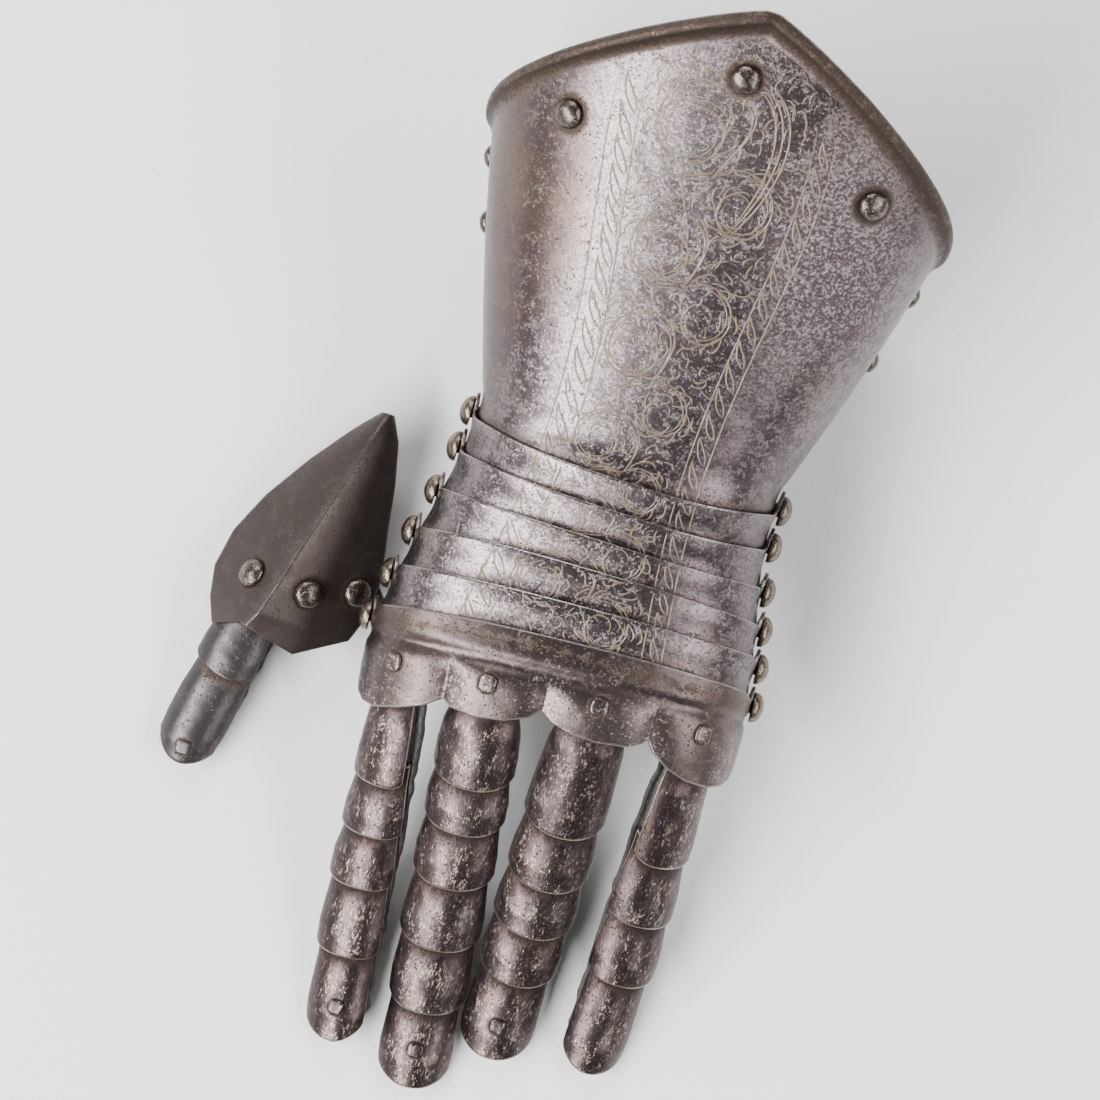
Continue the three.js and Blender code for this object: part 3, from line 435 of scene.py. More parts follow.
def gridNormals(grid, away):  # cross product of the two directions, turned away from another grid
    n = unit(np.cross(np.gradient(grid, axis=0), np.gradient(grid, axis=1)))
    return n * np.where(np.sum(n * (grid - away), -1, keepdims=True) < 0, -1, 1)


def borderDistance(grid):  # millimetres to the nearest border, along the grid's own lines
    def ways(axis):
        lengths = np.linalg.norm(np.diff(grid, axis=axis), axis=-1)
        run = np.concatenate([np.zeros_like(np.take(lengths, [0], axis)), np.cumsum(lengths, axis)], axis)
        return np.minimum(run, np.take(run, [-1], axis) - run)
    return np.minimum(ways(0), ways(1))


# A plate between two grids: its border is a rounded edge, three rings on a half circle. Two marks say
# from 0 to 1 where grime and painted shade darken the metal, and where the metal is worn bright, with a
# painted highlight on the cuff and lames.
def plateShell(outer, inner, bulge=0.35, dirt=None, rub=None):
    n, m = outer.shape[:2]
    i = np.r_[np.arange(n), np.full(m - 1, n - 1), np.arange(n - 2, -1, -1), np.zeros(m - 2, int)]
    j = np.r_[np.zeros(n, int), np.arange(1, m), np.full(n - 1, m - 1), np.arange(m - 2, 0, -1)]
    inI, inJ = np.clip(i, 1, n - 2), np.clip(j, 1, m - 2)
    away = unit(outer[i, j] - outer[inI, inJ])
    middle, half = (outer[i, j] + inner[i, j]) / 2, (outer[i, j] - inner[i, j]) / 2
    rings = [middle + half * math.cos(a) + away * bulge * math.sin(a) for a in (0.8, math.pi / 2, 2.35)]
    points = np.concatenate([outer.reshape(-1, 3), inner.reshape(-1, 3), *rings])
    ids = np.arange(n * m).reshape(n, m)
    ring = 2 * n * m + np.arange(len(i))
    loops = [ids[i, j], ring, ring + len(i), ring + 2 * len(i), ids[i, j] + n * m]
    quads = [gridQuads(ids), gridQuads(ids + n * m)[:, ::-1]]
    for a, b in zip(loops[:-1], loops[1:]):
        quads.append(np.stack([a, b, np.roll(b, -1), np.roll(a, -1)], -1))
    shape = {"points": points, "quads": np.concatenate(quads)}
    for key, marks in (("edge", borderDistance(outer)), ("dirt", dirt), ("rub", rub)):
        marks = np.zeros((n, m)) if marks is None else np.broadcast_to(marks, (n, m))
        shape[key] = np.concatenate([marks.ravel(), marks.ravel(), np.tile(marks[i, j], 3)])
    return facingOut(shape)


def gridQuads(ids):
    return np.stack([ids[:-1, :-1], ids[1:, :-1], ids[1:, 1:], ids[:-1, 1:]], -1).reshape(-1, 4)


def facingOut(shape):  # turns every face round where the mesh holds a negative volume
    p, q = shape["points"], shape["quads"]
    a, b, c, d = (p[q[:, k]] for k in range(4))
    volume = np.sum(np.cross(b, c) * a) + np.sum(np.cross(c, d) * a)
    return {**shape, "quads": q[:, ::-1] if volume < 0 else q}


def merged(shapes):
    starts = np.cumsum([0] + [len(s["points"]) for s in shapes[:-1]])
    whole = {key: np.concatenate([s[key] for s in shapes]) for key in ("points", "edge", "dirt", "rub")}
    return {**whole, "quads": np.concatenate([s["quads"] + k for s, k in zip(shapes, starts)])}


def linked(name, data):
    thing = bpy.data.objects.new(name, data)
    bpy.context.scene.collection.objects.link(thing)
    return thing


def makePiece(name, shape, body, material, nodes=()):
    mesh = bpy.data.meshes.new(name)
    points = (shape["points"] * toMetres + wristMiddle).astype(np.float32)
    quads = shape["quads"].astype(np.int32)
    mesh.vertices.add(len(points))
    mesh.vertices.foreach_set("co", points.ravel())
    mesh.loops.add(quads.size)
    mesh.loops.foreach_set("vertex_index", quads.ravel())
    mesh.polygons.add(len(quads))
    mesh.polygons.foreach_set("loop_start", np.arange(0, quads.size, 4, dtype=np.int32))
    mesh.polygons.foreach_set("use_smooth", np.ones(len(quads), bool))
    mesh.update(calc_edges=True)
    mesh.validate()
    for key in ("edge", "dirt", "rub"):
        layer = mesh.attributes.new(key, "FLOAT", "POINT")
        layer.data.foreach_set("value", shape[key].astype(np.float32))
    piece = linked(name, mesh)
    mesh.materials.append(material)
    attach(piece, body)
    if nodes:
        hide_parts(*nodes)


def hammerMarks(place, amount, size, seed):  # two sizes of noise, as a height
    lift = valueNoise(place, size, seed) + 0.45 * valueNoise(place, size * 0.4, seed + 7)
    return (amount * lift)[..., None]


def uneven(outer, inner, amount, size, seed):
    return outer + gridNormals(outer, inner) * hammerMarks(outer, amount, size, seed), inner


def gridOf(columns, rows):
    return np.meshgrid(columns, rows, indexing="ij")


# Surfaces of revolution: a profile of (radius, height) rows carried round +Z, then put in place.
def lathe(profile, sides, place, squareness=2.0):
    profile = np.asarray(profile, float)
    turn = np.linspace(0, 2 * math.pi, sides, endpoint=False)
    c, s = np.cos(turn), np.sin(turn)
    reach = (np.abs(c) ** squareness + np.abs(s) ** squareness) ** (-1 / squareness)
    r, z = profile[1:-1, 0], profile[1:-1, 1]
    ring = point(np.outer(c * reach, r), np.outer(s * reach, r), np.broadcast_to(z, (sides, len(z))))
    ends = np.array([[0, 0, profile[0, 1]], [0, 0, profile[-1, 1]]])
    points = np.concatenate([ring.reshape(-1, 3), ends])
    poles = sides * len(z)
    ids = np.arange(poles).reshape(sides, len(z))
    ids = np.concatenate([ids, ids[:1]])
    quads = [gridQuads(ids)]
    for k, tip in ((0, poles), (-1, poles + 1)):  # fans of quads that share the pole, two slices each
        a = ids[0:-1:2, k]
        fan = np.stack([np.full(len(a), tip), a, ids[1::2, k], ids[2::2, k]], -1)
        quads.append(fan if k else fan[:, ::-1])
    position, outward = place
    side = unit(np.cross([0.0, 1.0, 0.13], outward))
    up = np.cross(outward, side)
    points = position + points[:, :1] * side + points[:, 1:2] * up + points[:, 2:] * outward
    return plainShape(points, quads, 1.0)


def plainShape(points, quads, rub):  # without edges, grime and painted shade: far from any edge, and rubbed all over or not
    marks = {"edge": 9.0, "dirt": 0.0, "rub": rub}
    return facingOut({"points": points, "quads": np.concatenate(quads),
                      **{key: np.full(len(points), mark) for key, mark in marks.items()}})


rivets = {"pivotRadius": 4.6, "pivotHeight": 3.6, "pivotShank": 2.0, "rimRadius": 4.4, "rimHeight": 2.8,
          "rimInset": 19.9, "smallShank": 1.4, "flatRadius": 2.6, "tipRadius": 2.2, "sides": 40,
          "clearance": 0.3, "lip": 0.35, "innerShare": 1.4, "innerThick": 0.8}


# A domed head outside, its shank and a flat head inside, from the inner pole to the outer one
def domeProfile(radius, height, shank, grip):
    inner, thick = shank * rivets["innerShare"], rivets["innerThick"]
    under, lip = rivets["clearance"], rivets["clearance"] + rivets["lip"]
    bottom = -grip - 2 * under - inner * step / lamePitch
    rise = height - rivets["lip"]
    dome = [(radius * math.cos(t), lip + rise * math.sin(t)) for t in np.linspace(0, math.pi / 2, 12)[1:]]
    foot = [(inner * 0.8, bottom - thick), (inner, bottom - thick * 0.6), (inner, bottom), (shank, bottom),
            (shank, under), (radius * 0.96, under), (radius, under + 0.2), (radius, lip)]
    return [(0, bottom - thick), *foot, *dome]


print("mesh tools ready")


# A shader socket that takes part in sums: each operator adds one Math node.
class Wire:
    def __init__(self, surface, socket):
        self.surface, self.socket = surface, socket

    def sum(self, operation, a, b):
        return self.surface.add("ShaderNodeMath", {"operation": operation}, {0: a, 1: b})

    def __add__(self, other):
        return self.sum("ADD", self, other)

    def __radd__(self, other):
        return self.sum("ADD", other, self)

    def __sub__(self, other):
        return self.sum("SUBTRACT", self, other)

    def __rsub__(self, other):
        return self.sum("SUBTRACT", other, self)

    def __mul__(self, other):
        return self.sum("MULTIPLY", self, other)

    def __rmul__(self, other):
        return self.sum("MULTIPLY", other, self)


class Surface:
    def __init__(self, name):
        self.material = bpy.data.materials.new(name)
        self.material.use_nodes = True
        self.nodes, self.links = self.material.node_tree.nodes, self.material.node_tree.links
        self.shader = self.nodes["Principled BSDF"]
        self.place = self.add("ShaderNodeTexCoord", out="Object")

    def add(self, kind, settings=None, values=None, out=0):
        node = self.nodes.new(kind)
        for key, value in (settings or {}).items():
            setattr(node, key, value)
        self.fill(node, values or {})
        return Wire(self, node.outputs[out])

    def fill(self, node, values):
        for key, value in values.items():
            if isinstance(value, Wire):
                self.links.new(value.socket, node.inputs[key])
            else:
                node.inputs[key].default_value = value

    def noise(self, size, detail=2.0, roughness=0.5, where=None):
        return self.add("ShaderNodeTexNoise", None, {
            "Vector": where or self.place, "Scale": 1 / (size * toMetres), "Detail": detail,
            "Roughness": roughness})

    def stretched(self, scale):
        return self.add("ShaderNodeMapping", None, {"Vector": self.place, "Scale": scale})

    def cells(self, size):
        return self.add("ShaderNodeTexVoronoi", None,
                        {"Vector": self.place, "Scale": 1 / (size * toMetres)}, "Distance")

    def steps(self, value, low, high):
        return self.add("ShaderNodeMapRange", {"interpolation_type": "SMOOTHSTEP"},
                        {"Value": value, "From Min": low, "From Max": high})

    def mix(self, factor, a, b):
        node = self.nodes.new("ShaderNodeMix")
        node.data_type = "RGBA"
        for socket, value in ((node.inputs[0], factor), (node.inputs[6], a), (node.inputs[7], b)):
            if isinstance(value, Wire):
                self.links.new(value.socket, socket)
            else:
                socket.default_value = value if isinstance(value, float) else (*value, 1.0)
        return Wire(self, node.outputs[2])

    def bump(self, height, distance):
        return self.add("ShaderNodeBump", None,
                        {"Height": height, "Distance": distance * toMetres, "Strength": 1.0})

    def near(self, spot, sizes):  # 1 at a spot seen from above, fading between two distances from it
        squash = 0.55  # such a spot is longer along the hand than across it
        flat = self.stretched((1, squash, 0))
        centre = (spot[0] * toMetres + wristMiddle[0], (spot[1] * toMetres + wristMiddle[1]) * squash, 0)
        away = self.add("ShaderNodeVectorMath", {"operation": "DISTANCE"}, {0: flat, 1: centre}, "Value")
        return 1 - self.steps(away, sizes[0] * toMetres, sizes[1] * toMetres)

    def attribute(self, name):
        return self.add("ShaderNodeAttribute", {"attribute_name": name}, None, "Fac")

    def done(self, **values):
        self.fill(self.shader, {key.replace("_", " "): value for key, value in values.items()})
        return self.material


# Old steel: a pinkish grey worn bright in speckles that follow three sizes of noise, brown patina
# between them, dark pits, grime and painted shade where one attribute says so, paler with wear and
# painted highlight where another says so, and a pale line along worn edges.
def oldSteel(name, look):
    s = Surface(name)
    where = s.stretched(look["stretch"])
    broad = s.noise(look["patch"], 3, 0.55)
    mottle = s.noise(look["mottle"], 7, 0.75, where)
    speck = s.noise(look["speck"], 4, 0.7, where)
    grain = s.noise(0.55, 2, 0.6)
    dirt, rub, edge = s.attribute("dirt"), s.attribute("rub"), s.attribute("edge")
    rough = s.near(look["roughSpot"], look["roughSize"]) if "roughSpot" in look else 0.0
    # paler where wear and painted highlight lie, darker where grime and painted shade lie
    field = mottle * 0.55 + speck * 0.30 + broad * 0.15 + rub * look["wearAndSheenLift"] - dirt * 0.10
    field = field + rough * (speck - 0.5) * 1.2
    # painted shade over patina: darker and browner round the dark spot on the cuff's left flank
    shadedFlank = s.near(look["darkSpot"], look["darkSize"]) if "darkSpot" in look else 0.0
    field = field - shadedFlank * 0.07
    tone = s.steps(field, look["darkLevel"], look["paleLevel"])
    glint = s.steps(speck * 0.6 + mottle * 0.4 + rub * 0.05 + rough * 0.06 - shadedFlank * 0.02,
                    look["glintLevel"], look["glintLevel"] + 0.06)
    pits = 1 - s.steps(s.cells(look["pitSize"]) + 0.35 * grain, 0.30, 0.46)
    pits = pits * s.steps(s.noise(5.0, 3, 0.6), 0.44, 0.56)
    colour = s.mix(tone, look["dark"], look["pale"])
    browned = s.steps(broad * 0.5 + mottle * 0.5 + shadedFlank * 0.05, 0.46, 0.60)
    colour = s.mix(browned * (look["brownShare"] + shadedFlank * 0.4), colour, look["brown"])
    colour = s.mix(glint * look["glintShare"], colour, look["glint"])
    # the grime and stain colours go where grime and painted shade lie, so they paint shade as well
    grimeAndShadeMask = s.steps(dirt + 2.4 * (mottle - 0.5) + 1.6 * (speck - 0.5), 0.15, 0.90)
    colour = s.mix(s.steps(dirt + 0.6 * (mottle - 0.5), 0.05, 0.45) * 0.5, colour, look["stainAndShade"])
    colour = s.mix(grimeAndShadeMask * 0.85, colour, look["grimeAndShade"])
    colour = s.mix(s.steps(edge + 0.6 * mottle, 0.75, 0.35) * look["edgeShare"], colour, look["glint"])
    colour = s.mix(pits * 0.75, colour, look["pit"])
    shine = look["rough"] + 0.12 * (1 - tone) - 0.03 * glint + 0.22 * grimeAndShadeMask + 0.20 * pits + 0.08 * rough
    height = 0.35 * grain + look["relief"] * (mottle + 0.6 * speck) - 1.2 * pits
    height = height + (3.0 * rough + 1.2 * grimeAndShadeMask) * speck
    return s.done(Base_Color=colour, Metallic=look["metal"] - 0.15 * grimeAndShadeMask, Roughness=shine,
                  Normal=s.bump(height, look["bump"]))


steelLook = {"patch": 30.0, "mottle": 4.0, "speck": 1.0, "stretch": (1, 1, 1), "darkLevel": 0.42,
             "paleLevel": 0.68, "wearAndSheenLift": 0.035, "dark": (0.088, 0.067, 0.069),
             "pale": (0.325, 0.285, 0.297), "brown": (0.12, 0.086, 0.068), "brownShare": 0.35,
             "glint": (0.56, 0.50, 0.47), "glintShare": 0.4, "glintLevel": 0.60,
             "grimeAndShade": (0.034, 0.024, 0.018), "stainAndShade": (0.105, 0.072, 0.049), "edgeShare": 0.3,
             "pitSize": 1.15, "pit": (0.026, 0.020, 0.020), "rough": 0.20, "relief": 1.0, "metal": 0.98,
             "bump": 0.075,
             "roughSpot": (36.0, 76.0), "roughSize": (8.0, 27.0), "darkSpot": (-58.0, 50.0),
             "darkSize": (16.0, 34.0)}
plainLook = {key: value for key, value in steelLook.items() if key not in ("roughSpot", "darkSpot")}
scaleLook = {**plainLook, "patch": 16.0, "mottle": 3.2, "speck": 0.7, "stretch": (1.4, 0.40, 1.0),
             "darkLevel": 0.43, "paleLevel": 0.74, "wearAndSheenLift": 0.09, "dark": (0.042, 0.030, 0.031),
             "pale": (0.128, 0.100, 0.100), "brown": (0.062, 0.038, 0.031), "brownShare": 0.5,
             "glint": (0.58, 0.49, 0.39), "glintShare": 0.6, "glintLevel": 0.578, "edgeShare": 0.45,
             "stainAndShade": (0.034, 0.023, 0.018), "grimeAndShade": (0.016, 0.011, 0.009), "rough": 0.25}
knuckleLook = {**plainLook, "patch": 20.0, "mottle": 3.0, "speck": 0.8, "darkLevel": 0.43,
               "paleLevel": 0.74, "dark": (0.088, 0.068, 0.066), "pale": (0.195, 0.163, 0.156),
               "brown": (0.11, 0.078, 0.058), "glintShare": 0.5, "glintLevel": 0.585, "rough": 0.25}
thumbLook = {**plainLook, "mottle": 5.0, "speck": 0.7, "darkLevel": 0.44, "paleLevel": 0.80,
             "wearAndSheenLift": 0.10, "dark": (0.058, 0.046, 0.042), "pale": (0.13, 0.112, 0.104),
             "brown": (0.05, 0.037, 0.030), "brownShare": 0.3, "glint": (0.18, 0.155, 0.13),
             "glintShare": 0.3, "edgeShare": 0.1, "rough": 0.38, "relief": 0.6, "metal": 0.9}
thumbScaleLook = {**thumbLook, "dark": (0.058, 0.050, 0.051), "pale": (0.120, 0.112, 0.119), "rough": 0.30}
rivetLook = {**plainLook, "patch": 8.0, "mottle": 2.2, "speck": 0.8, "darkLevel": 0.42, "paleLevel": 0.72,
             "dark": (0.110, 0.082, 0.060), "pale": (0.33, 0.28, 0.23), "brown": (0.13, 0.088, 0.055),
             "wearAndSheenLift": 0.02, "edgeShare": 0.0, "rough": 0.20, "pitSize": 0.9}
darkRivetLook = {**rivetLook, "dark": (0.070, 0.055, 0.046), "pale": (0.22, 0.195, 0.175),
                 "brown": (0.075, 0.053, 0.040)}


def oldLeather(name):  # black-brown hide with a pebbled grain, paler where it is rubbed
    s = Surface(name)
    grain = s.cells(0.9) + 0.5 * s.noise(0.5, 3)
    rub = s.steps(s.noise(4.0, 5, 0.65), 0.45, 0.75)
    colour = s.mix(rub, (0.010, 0.008, 0.008), (0.045, 0.036, 0.030))
    return s.done(Base_Color=colour, Roughness=0.55 + 0.2 * rub, Normal=s.bump(grain, 0.15))


def etchedResidue(name):  # yellowish crust on the etched lines, worn through to steel in patches
    s = Surface(name)
    worn = s.steps(s.noise(5.0, 6, 0.7) * 0.6 + s.noise(1.1, 3) * 0.4, 0.42, 0.62)
    colour = s.mix(worn, (0.205, 0.158, 0.110), (0.31, 0.265, 0.238))
    return s.done(Base_Color=colour, Metallic=0.55 + 0.35 * worn, Roughness=0.46 - 0.12 * worn,
                  Normal=s.bump(s.noise(0.5, 2), 0.05))


steel, scaleSteel = oldSteel("steel", steelLook), oldSteel("scaleSteel", scaleLook)
knuckleSteel = oldSteel("knuckleSteel", knuckleLook)
thumbSteel, rivetMetal = oldSteel("thumbSteel", thumbLook), oldSteel("rivetMetal", rivetLook)
darkRivetMetal = oldSteel("darkRivetMetal", darkRivetLook)
thumbScaleSteel = oldSteel("thumbScaleSteel", thumbScaleLook)
leather, residue = oldLeather("leather"), etchedResidue("etchedResidue")
print("materials ready")


def cuffPlace(angle, y):
    return cuffPoint(0.0, np.array(angle, float), y), cuffOutward(np.array(angle, float), y)


rimRivets = {word: (angle, rimPlace(angle) - rivets["rimInset"])
             for word, angle in (("left", 129.0), ("centre", 90.8), ("right", 54.0))}


def halo(grid, places, radius, width):  # grime and painted shade round rivets: 1 at each head, gone a width further out
    gaps = np.min([np.linalg.norm(grid - place, axis=-1) for place in places], 0)
    return 1 - ramp(gaps, radius - 0.3, radius + width)


def creases(grid, edge, width):  # grime and painted shade along the edge of a covering plate: exp(-distance / width)
    return np.exp(-np.linalg.norm(grid - edge, axis=-1) / width)


# The cuff, with its rim rolled outwards round a wire
cuffGrid = {"columns": 251, "rows": 150, "bead": 14, "rimSeat": 3.4, "split": 0.35, "crack": 0.55,
            "halfTurn": 112.2}
lame = {"halfTurn": 102, "sunk": 0.15}
# Grime and painted shade: how far each mark reaches, and how strong it is on the rolled rim
grimeAndShade = {"rimHalo": 3.0, "thumbHalo": 2.0, "flatHalo": 1.6, "hem": 2.2, "seam": 1.4, "rim": 6.0,
         "bead": 1.1, "rolled": 0.7}


def rollPoint(angle, turn):
    end = rimPlace(angle) - cuff["roll"]
    outward = cuffOutward(angle, end)
    forward = np.array([0.0, 1.0, 0.0])
    forward = unit(forward - outward * np.sum(outward * forward, -1, keepdims=True))
    foot = cuffPoint(stock["plate"] / 2, angle, end)
    crack = 1 - 0.25 * np.exp(-((angle - 90) / cuffGrid["split"]) ** 2)
    radius = cuff["roll"] * crack
    across = 0.5 * stock["plate"] + radius * np.sin(turn)
    return foot + outward * across[..., None] + forward * (radius * np.cos(turn))[..., None]


def makeCuff():
    columns = 90 + cuffGrid["halfTurn"] * np.linspace(-1, 1, cuffGrid["columns"])
    angle, share = gridOf(columns, np.linspace(0, 1, cuffGrid["rows"]))
    end = rimPlace(angle) - cuffGrid["rimSeat"] * cuff["roll"]
    y = lerp(cuffWristEdge(angle), end, share)
    beadAngle, turn = gridOf(columns, np.linspace(2.55, 0.15, cuffGrid["bead"]))
    outer = np.concatenate([cuffPoint(0.0, angle, y), rollPoint(beadAngle, turn)], 1)
    inner = np.concatenate([cuffPoint(stock["plate"], angle, y), rollPoint(beadAngle, -turn)], 1)
    heads = [cuffPlace(*spot)[0] for spot in rimRivets.values()]
    flat, bead = outer[:, :cuffGrid["rows"]], outer[:, cuffGrid["rows"]:]
    # grime and painted shade: darker in the valley under the rolled rim, round the rivet heads and under
    # the first lame's edge; the roll is grimy, more so with painted shade on its side towards the valley,
    # and a dark line marks the crack on the peak
    below = 0.18 * np.exp((y - end) / grimeAndShade["rim"])
    firstLame = lamePoint(pivots[0], pivots[1], 0.0, *shares(angle[:, :1]), 0.0)
    marks = np.maximum.reduce([halo(flat, heads, rivets["rimRadius"], grimeAndShade["rimHalo"]), 0.9 * below,
                               0.7 * creases(flat, firstLame, grimeAndShade["hem"])])
    beadMarks = [grimeAndShade["bead"]] * 3 + [grimeAndShade["rolled"]] * (cuffGrid["bead"] - 3)
    marks = np.concatenate([marks, beadMarks + np.exp(-(bead[..., 0] / cuffGrid["crack"]) ** 2)], 1)
    # wear and a painted highlight along a strip a little left of the ridge
    rub = ramp(np.abs(angle[:, :1] - 112), 42.0, 6.0) * np.ones(outer.shape[1])
    shape = plateShell(*uneven(outer, inner, *hammer["cuff"]), 0.35, marks, rub)
    makePiece("cuffPlate", shape, "cuff", steel, ["cuff_plate"])


def makeInnerCuff():
    topAngle, facets = 4.0, 15
    facet = (180 - 2 * topAngle) / facets
    count, rows = grids["innerCuff"]
    angle, share = gridOf(np.linspace(-topAngle, -180 + topAngle, count), np.linspace(0, 1, rows))
    depth = np.abs(np.sin(np.radians(angle)))
    start = lerp(cuff["neck"], -hand["ear"], ramp(depth, 0.3, 0.7))
    y = lerp(start, rimPlace(angle) - cuffGrid["rimSeat"] * cuff["roll"], share)
    flat = math.sin(math.radians(90 - facet / 2)) ** (2 / hand["power"])

    def surface(inset):
        side, rise = shares(angle)
        waist = cuffWaist(y)
        z = waist + np.maximum(waist * rise / flat, -waist) * (1 - inset / waist)
        return point(side * (cuffHalf(y) - step - inset), y, z)

    shape = plateShell(surface(0.0), surface(stock["plate"]))
    makePiece("innerCuffPlate", shape, "cuff", steel, ["inner_cuff_plate"])


def lameHammer(number):  # each lame has its own seed
    amount, size, seed = hammer["lame"]
    return amount, size, seed + number


def makeLame(number):
    upper, lower = pivots[number - 1], pivots[number]
    count, rows = grids["lame"]
    angle, share = gridOf(np.linspace(90 - lame["halfTurn"], 90 + lame["halfTurn"], count),
                          np.linspace(0, 1, rows))
    side, rise = shares(angle)
    # the covered edge is hammered down a little, so that it can slide
    sunk = lame["sunk"] * ramp(share, 0.7, 1.0)
    outer = lamePoint(upper, lower, sunk, side, rise, share)
    inner = lamePoint(upper, lower, sunk + stock["plate"], side, rise, share)
    column = side[:, :1], rise[:, :1]
    seam = (lamePoint(lower, pivots[number + 1], 0.0, *column, 0.0) if number < lameCount
            else knucklePoint(0.0, *column, upperEdge(lower, *column)))
    # grime and painted shade under the upper edge of the next plate, which lies over this one
    marks = 0.8 * creases(outer, seam, grimeAndShade["seam"])
    # wear and a painted highlight, paler from the left side to the middle
    rub = ramp(side, 0.9, -0.35) * ramp(side, -1.05, -0.7)
    shape = plateShell(*uneven(outer, inner, *lameHammer(number)), 0.1, marks, rub)
    makePiece(f"lame{number}", shape, f"lame_{number}", steel, [f"lame_{number}"])


makeCuff()
makeInnerCuff()
for number in range(1, lameCount + 1):
    makeLame(number)
print("cuff and lames made")


# A rivet with its uneven dome, on a place and the outward direction there
def makeRivet(name, place, radius, height, shank, grip, body, seed, material):
    shape = lathe(domeProfile(radius, height, shank, grip), rivets["sides"], place)
    out = unit(shape["points"] - (place[0] - 2 * place[1]))
    onDome = ramp(np.sum((shape["points"] - place[0]) * place[1], -1), 0.5, 1.5)
    marks = valueNoise(shape["points"], 2.6, seed) + 0.5 * valueNoise(shape["points"], 1.2, seed)
    shape["points"] = shape["points"] + out * (0.10 * onDome * marks)[:, None]
    label = "".join(word.capitalize() if k else word for k, word in enumerate(name.split("_")))
    makePiece(label, shape, body, material, [name])


def pivotPlace(pivot, side):
    outward = np.array([side * math.cos(pivot["fan"]), side * math.sin(pivot["fan"]), 0.0])
    return fromPivot(pivot, side * pivot["half"], 0.0, 0.0), outward


pairGrip = 2 * stock["plate"] + stock["gap"]
for k, pivot in enumerate(pivots):
    for side, word in ((-1, "left"), (1, "right")):
        body = f"lame_{k + 1}" if k < lameCount else "hand"
        makeRivet(f"lame_rivet_{k + 1}_{word}", pivotPlace(pivot, side), rivets["pivotRadius"],
                  rivets["pivotHeight"], rivets["pivotShank"], pairGrip, body, 40 + 2 * k + side,
                  rivetMetal)
for word, spot in rimRivets.items():
    makeRivet(f"rim_rivet_{word}", cuffPlace(*spot), rivets["rimRadius"], rivets["rimHeight"],
              rivets["smallShank"], stock["plate"], "cuff", 60, darkRivetMetal)
for k, (angle, share) in enumerate(((192.0, 0.845), (192.0, 0.63), (-12.0, 0.83), (-12.0, 0.58))):
    makeRivet(f"cuff_side_rivet_{k + 1}", cuffPlace(angle, cuff["sideLength"] * share),
              0.8 * rivets["rimRadius"], rivets["rimHeight"], rivets["smallShank"], pairGrip, "cuff",
              70 + k, darkRivetMetal)
print("rivets made")


def flatHead(place, radius, height):  # a low squarish head, sunk a little into its plate
    profile = [(0, -0.6), (radius * 0.8, -0.6), (radius, -0.3), (radius, height * 0.45),
               (radius * 0.93, height * 0.8), (radius * 0.75, height), (radius * 0.35, height * 1.04),
               (0, height * 1.05)]
    return lathe(profile, rivets["sides"], place, 4.0)


def makeKnucklePlate():
    count, rows = grids["knuckle"]
    inner = np.linspace(knuckleEdge[0, 0], knuckleEdge[-1, 0], count)
    skirt = np.linspace(-0.22, 0.26, grids["skirt"])
    side = np.concatenate([-riseAt(skirt), inner, riseAt(skirt[::-1])])
    rise = np.concatenate([skirt, riseAt(inner), skirt[::-1]])
    k, share = gridOf(np.arange(len(side)), np.linspace(0, 1, rows))
    side, rise = side[k], rise[k]
    forward = lerp(upperEdge(pivots[lameCount], side, rise), knuckleLower(side, rise), share)
    plate = [knucklePoint(d, side, rise, forward) for d in (0.0, stock["plate"])]
    spots = [(a, -down * knuckle["length"]) for a, down in knuckle["rivets"]]
    places = [(knuckleSpot(*spot), knuckleOutward(*spot)) for spot in spots]
    # grime and painted shade in the flute under the upper edge, and round the rivet heads
    shadedCove = np.exp(-((share - 0.15) / 0.08) ** 2)
    heads = halo(plate[0], [place for place, _ in places], rivets["flatRadius"], grimeAndShade["flatHalo"])
    rub = ramp(share, 0.25, 0.6) * (0.5 + 0.5 * np.cos(side * 13.0))
    marks = np.maximum(heads, 0.28 * shadedCove)
    shapes = [plateShell(*uneven(*plate, *hammer["knuckle"]), 0.35, marks, rub)]
    shapes += [flatHead(place, rivets["flatRadius"], 0.8) for place in places]
    makePiece("knucklePlate", merged(shapes), "hand", knuckleSteel, ["knuckle_plate"])


makeKnucklePlate()


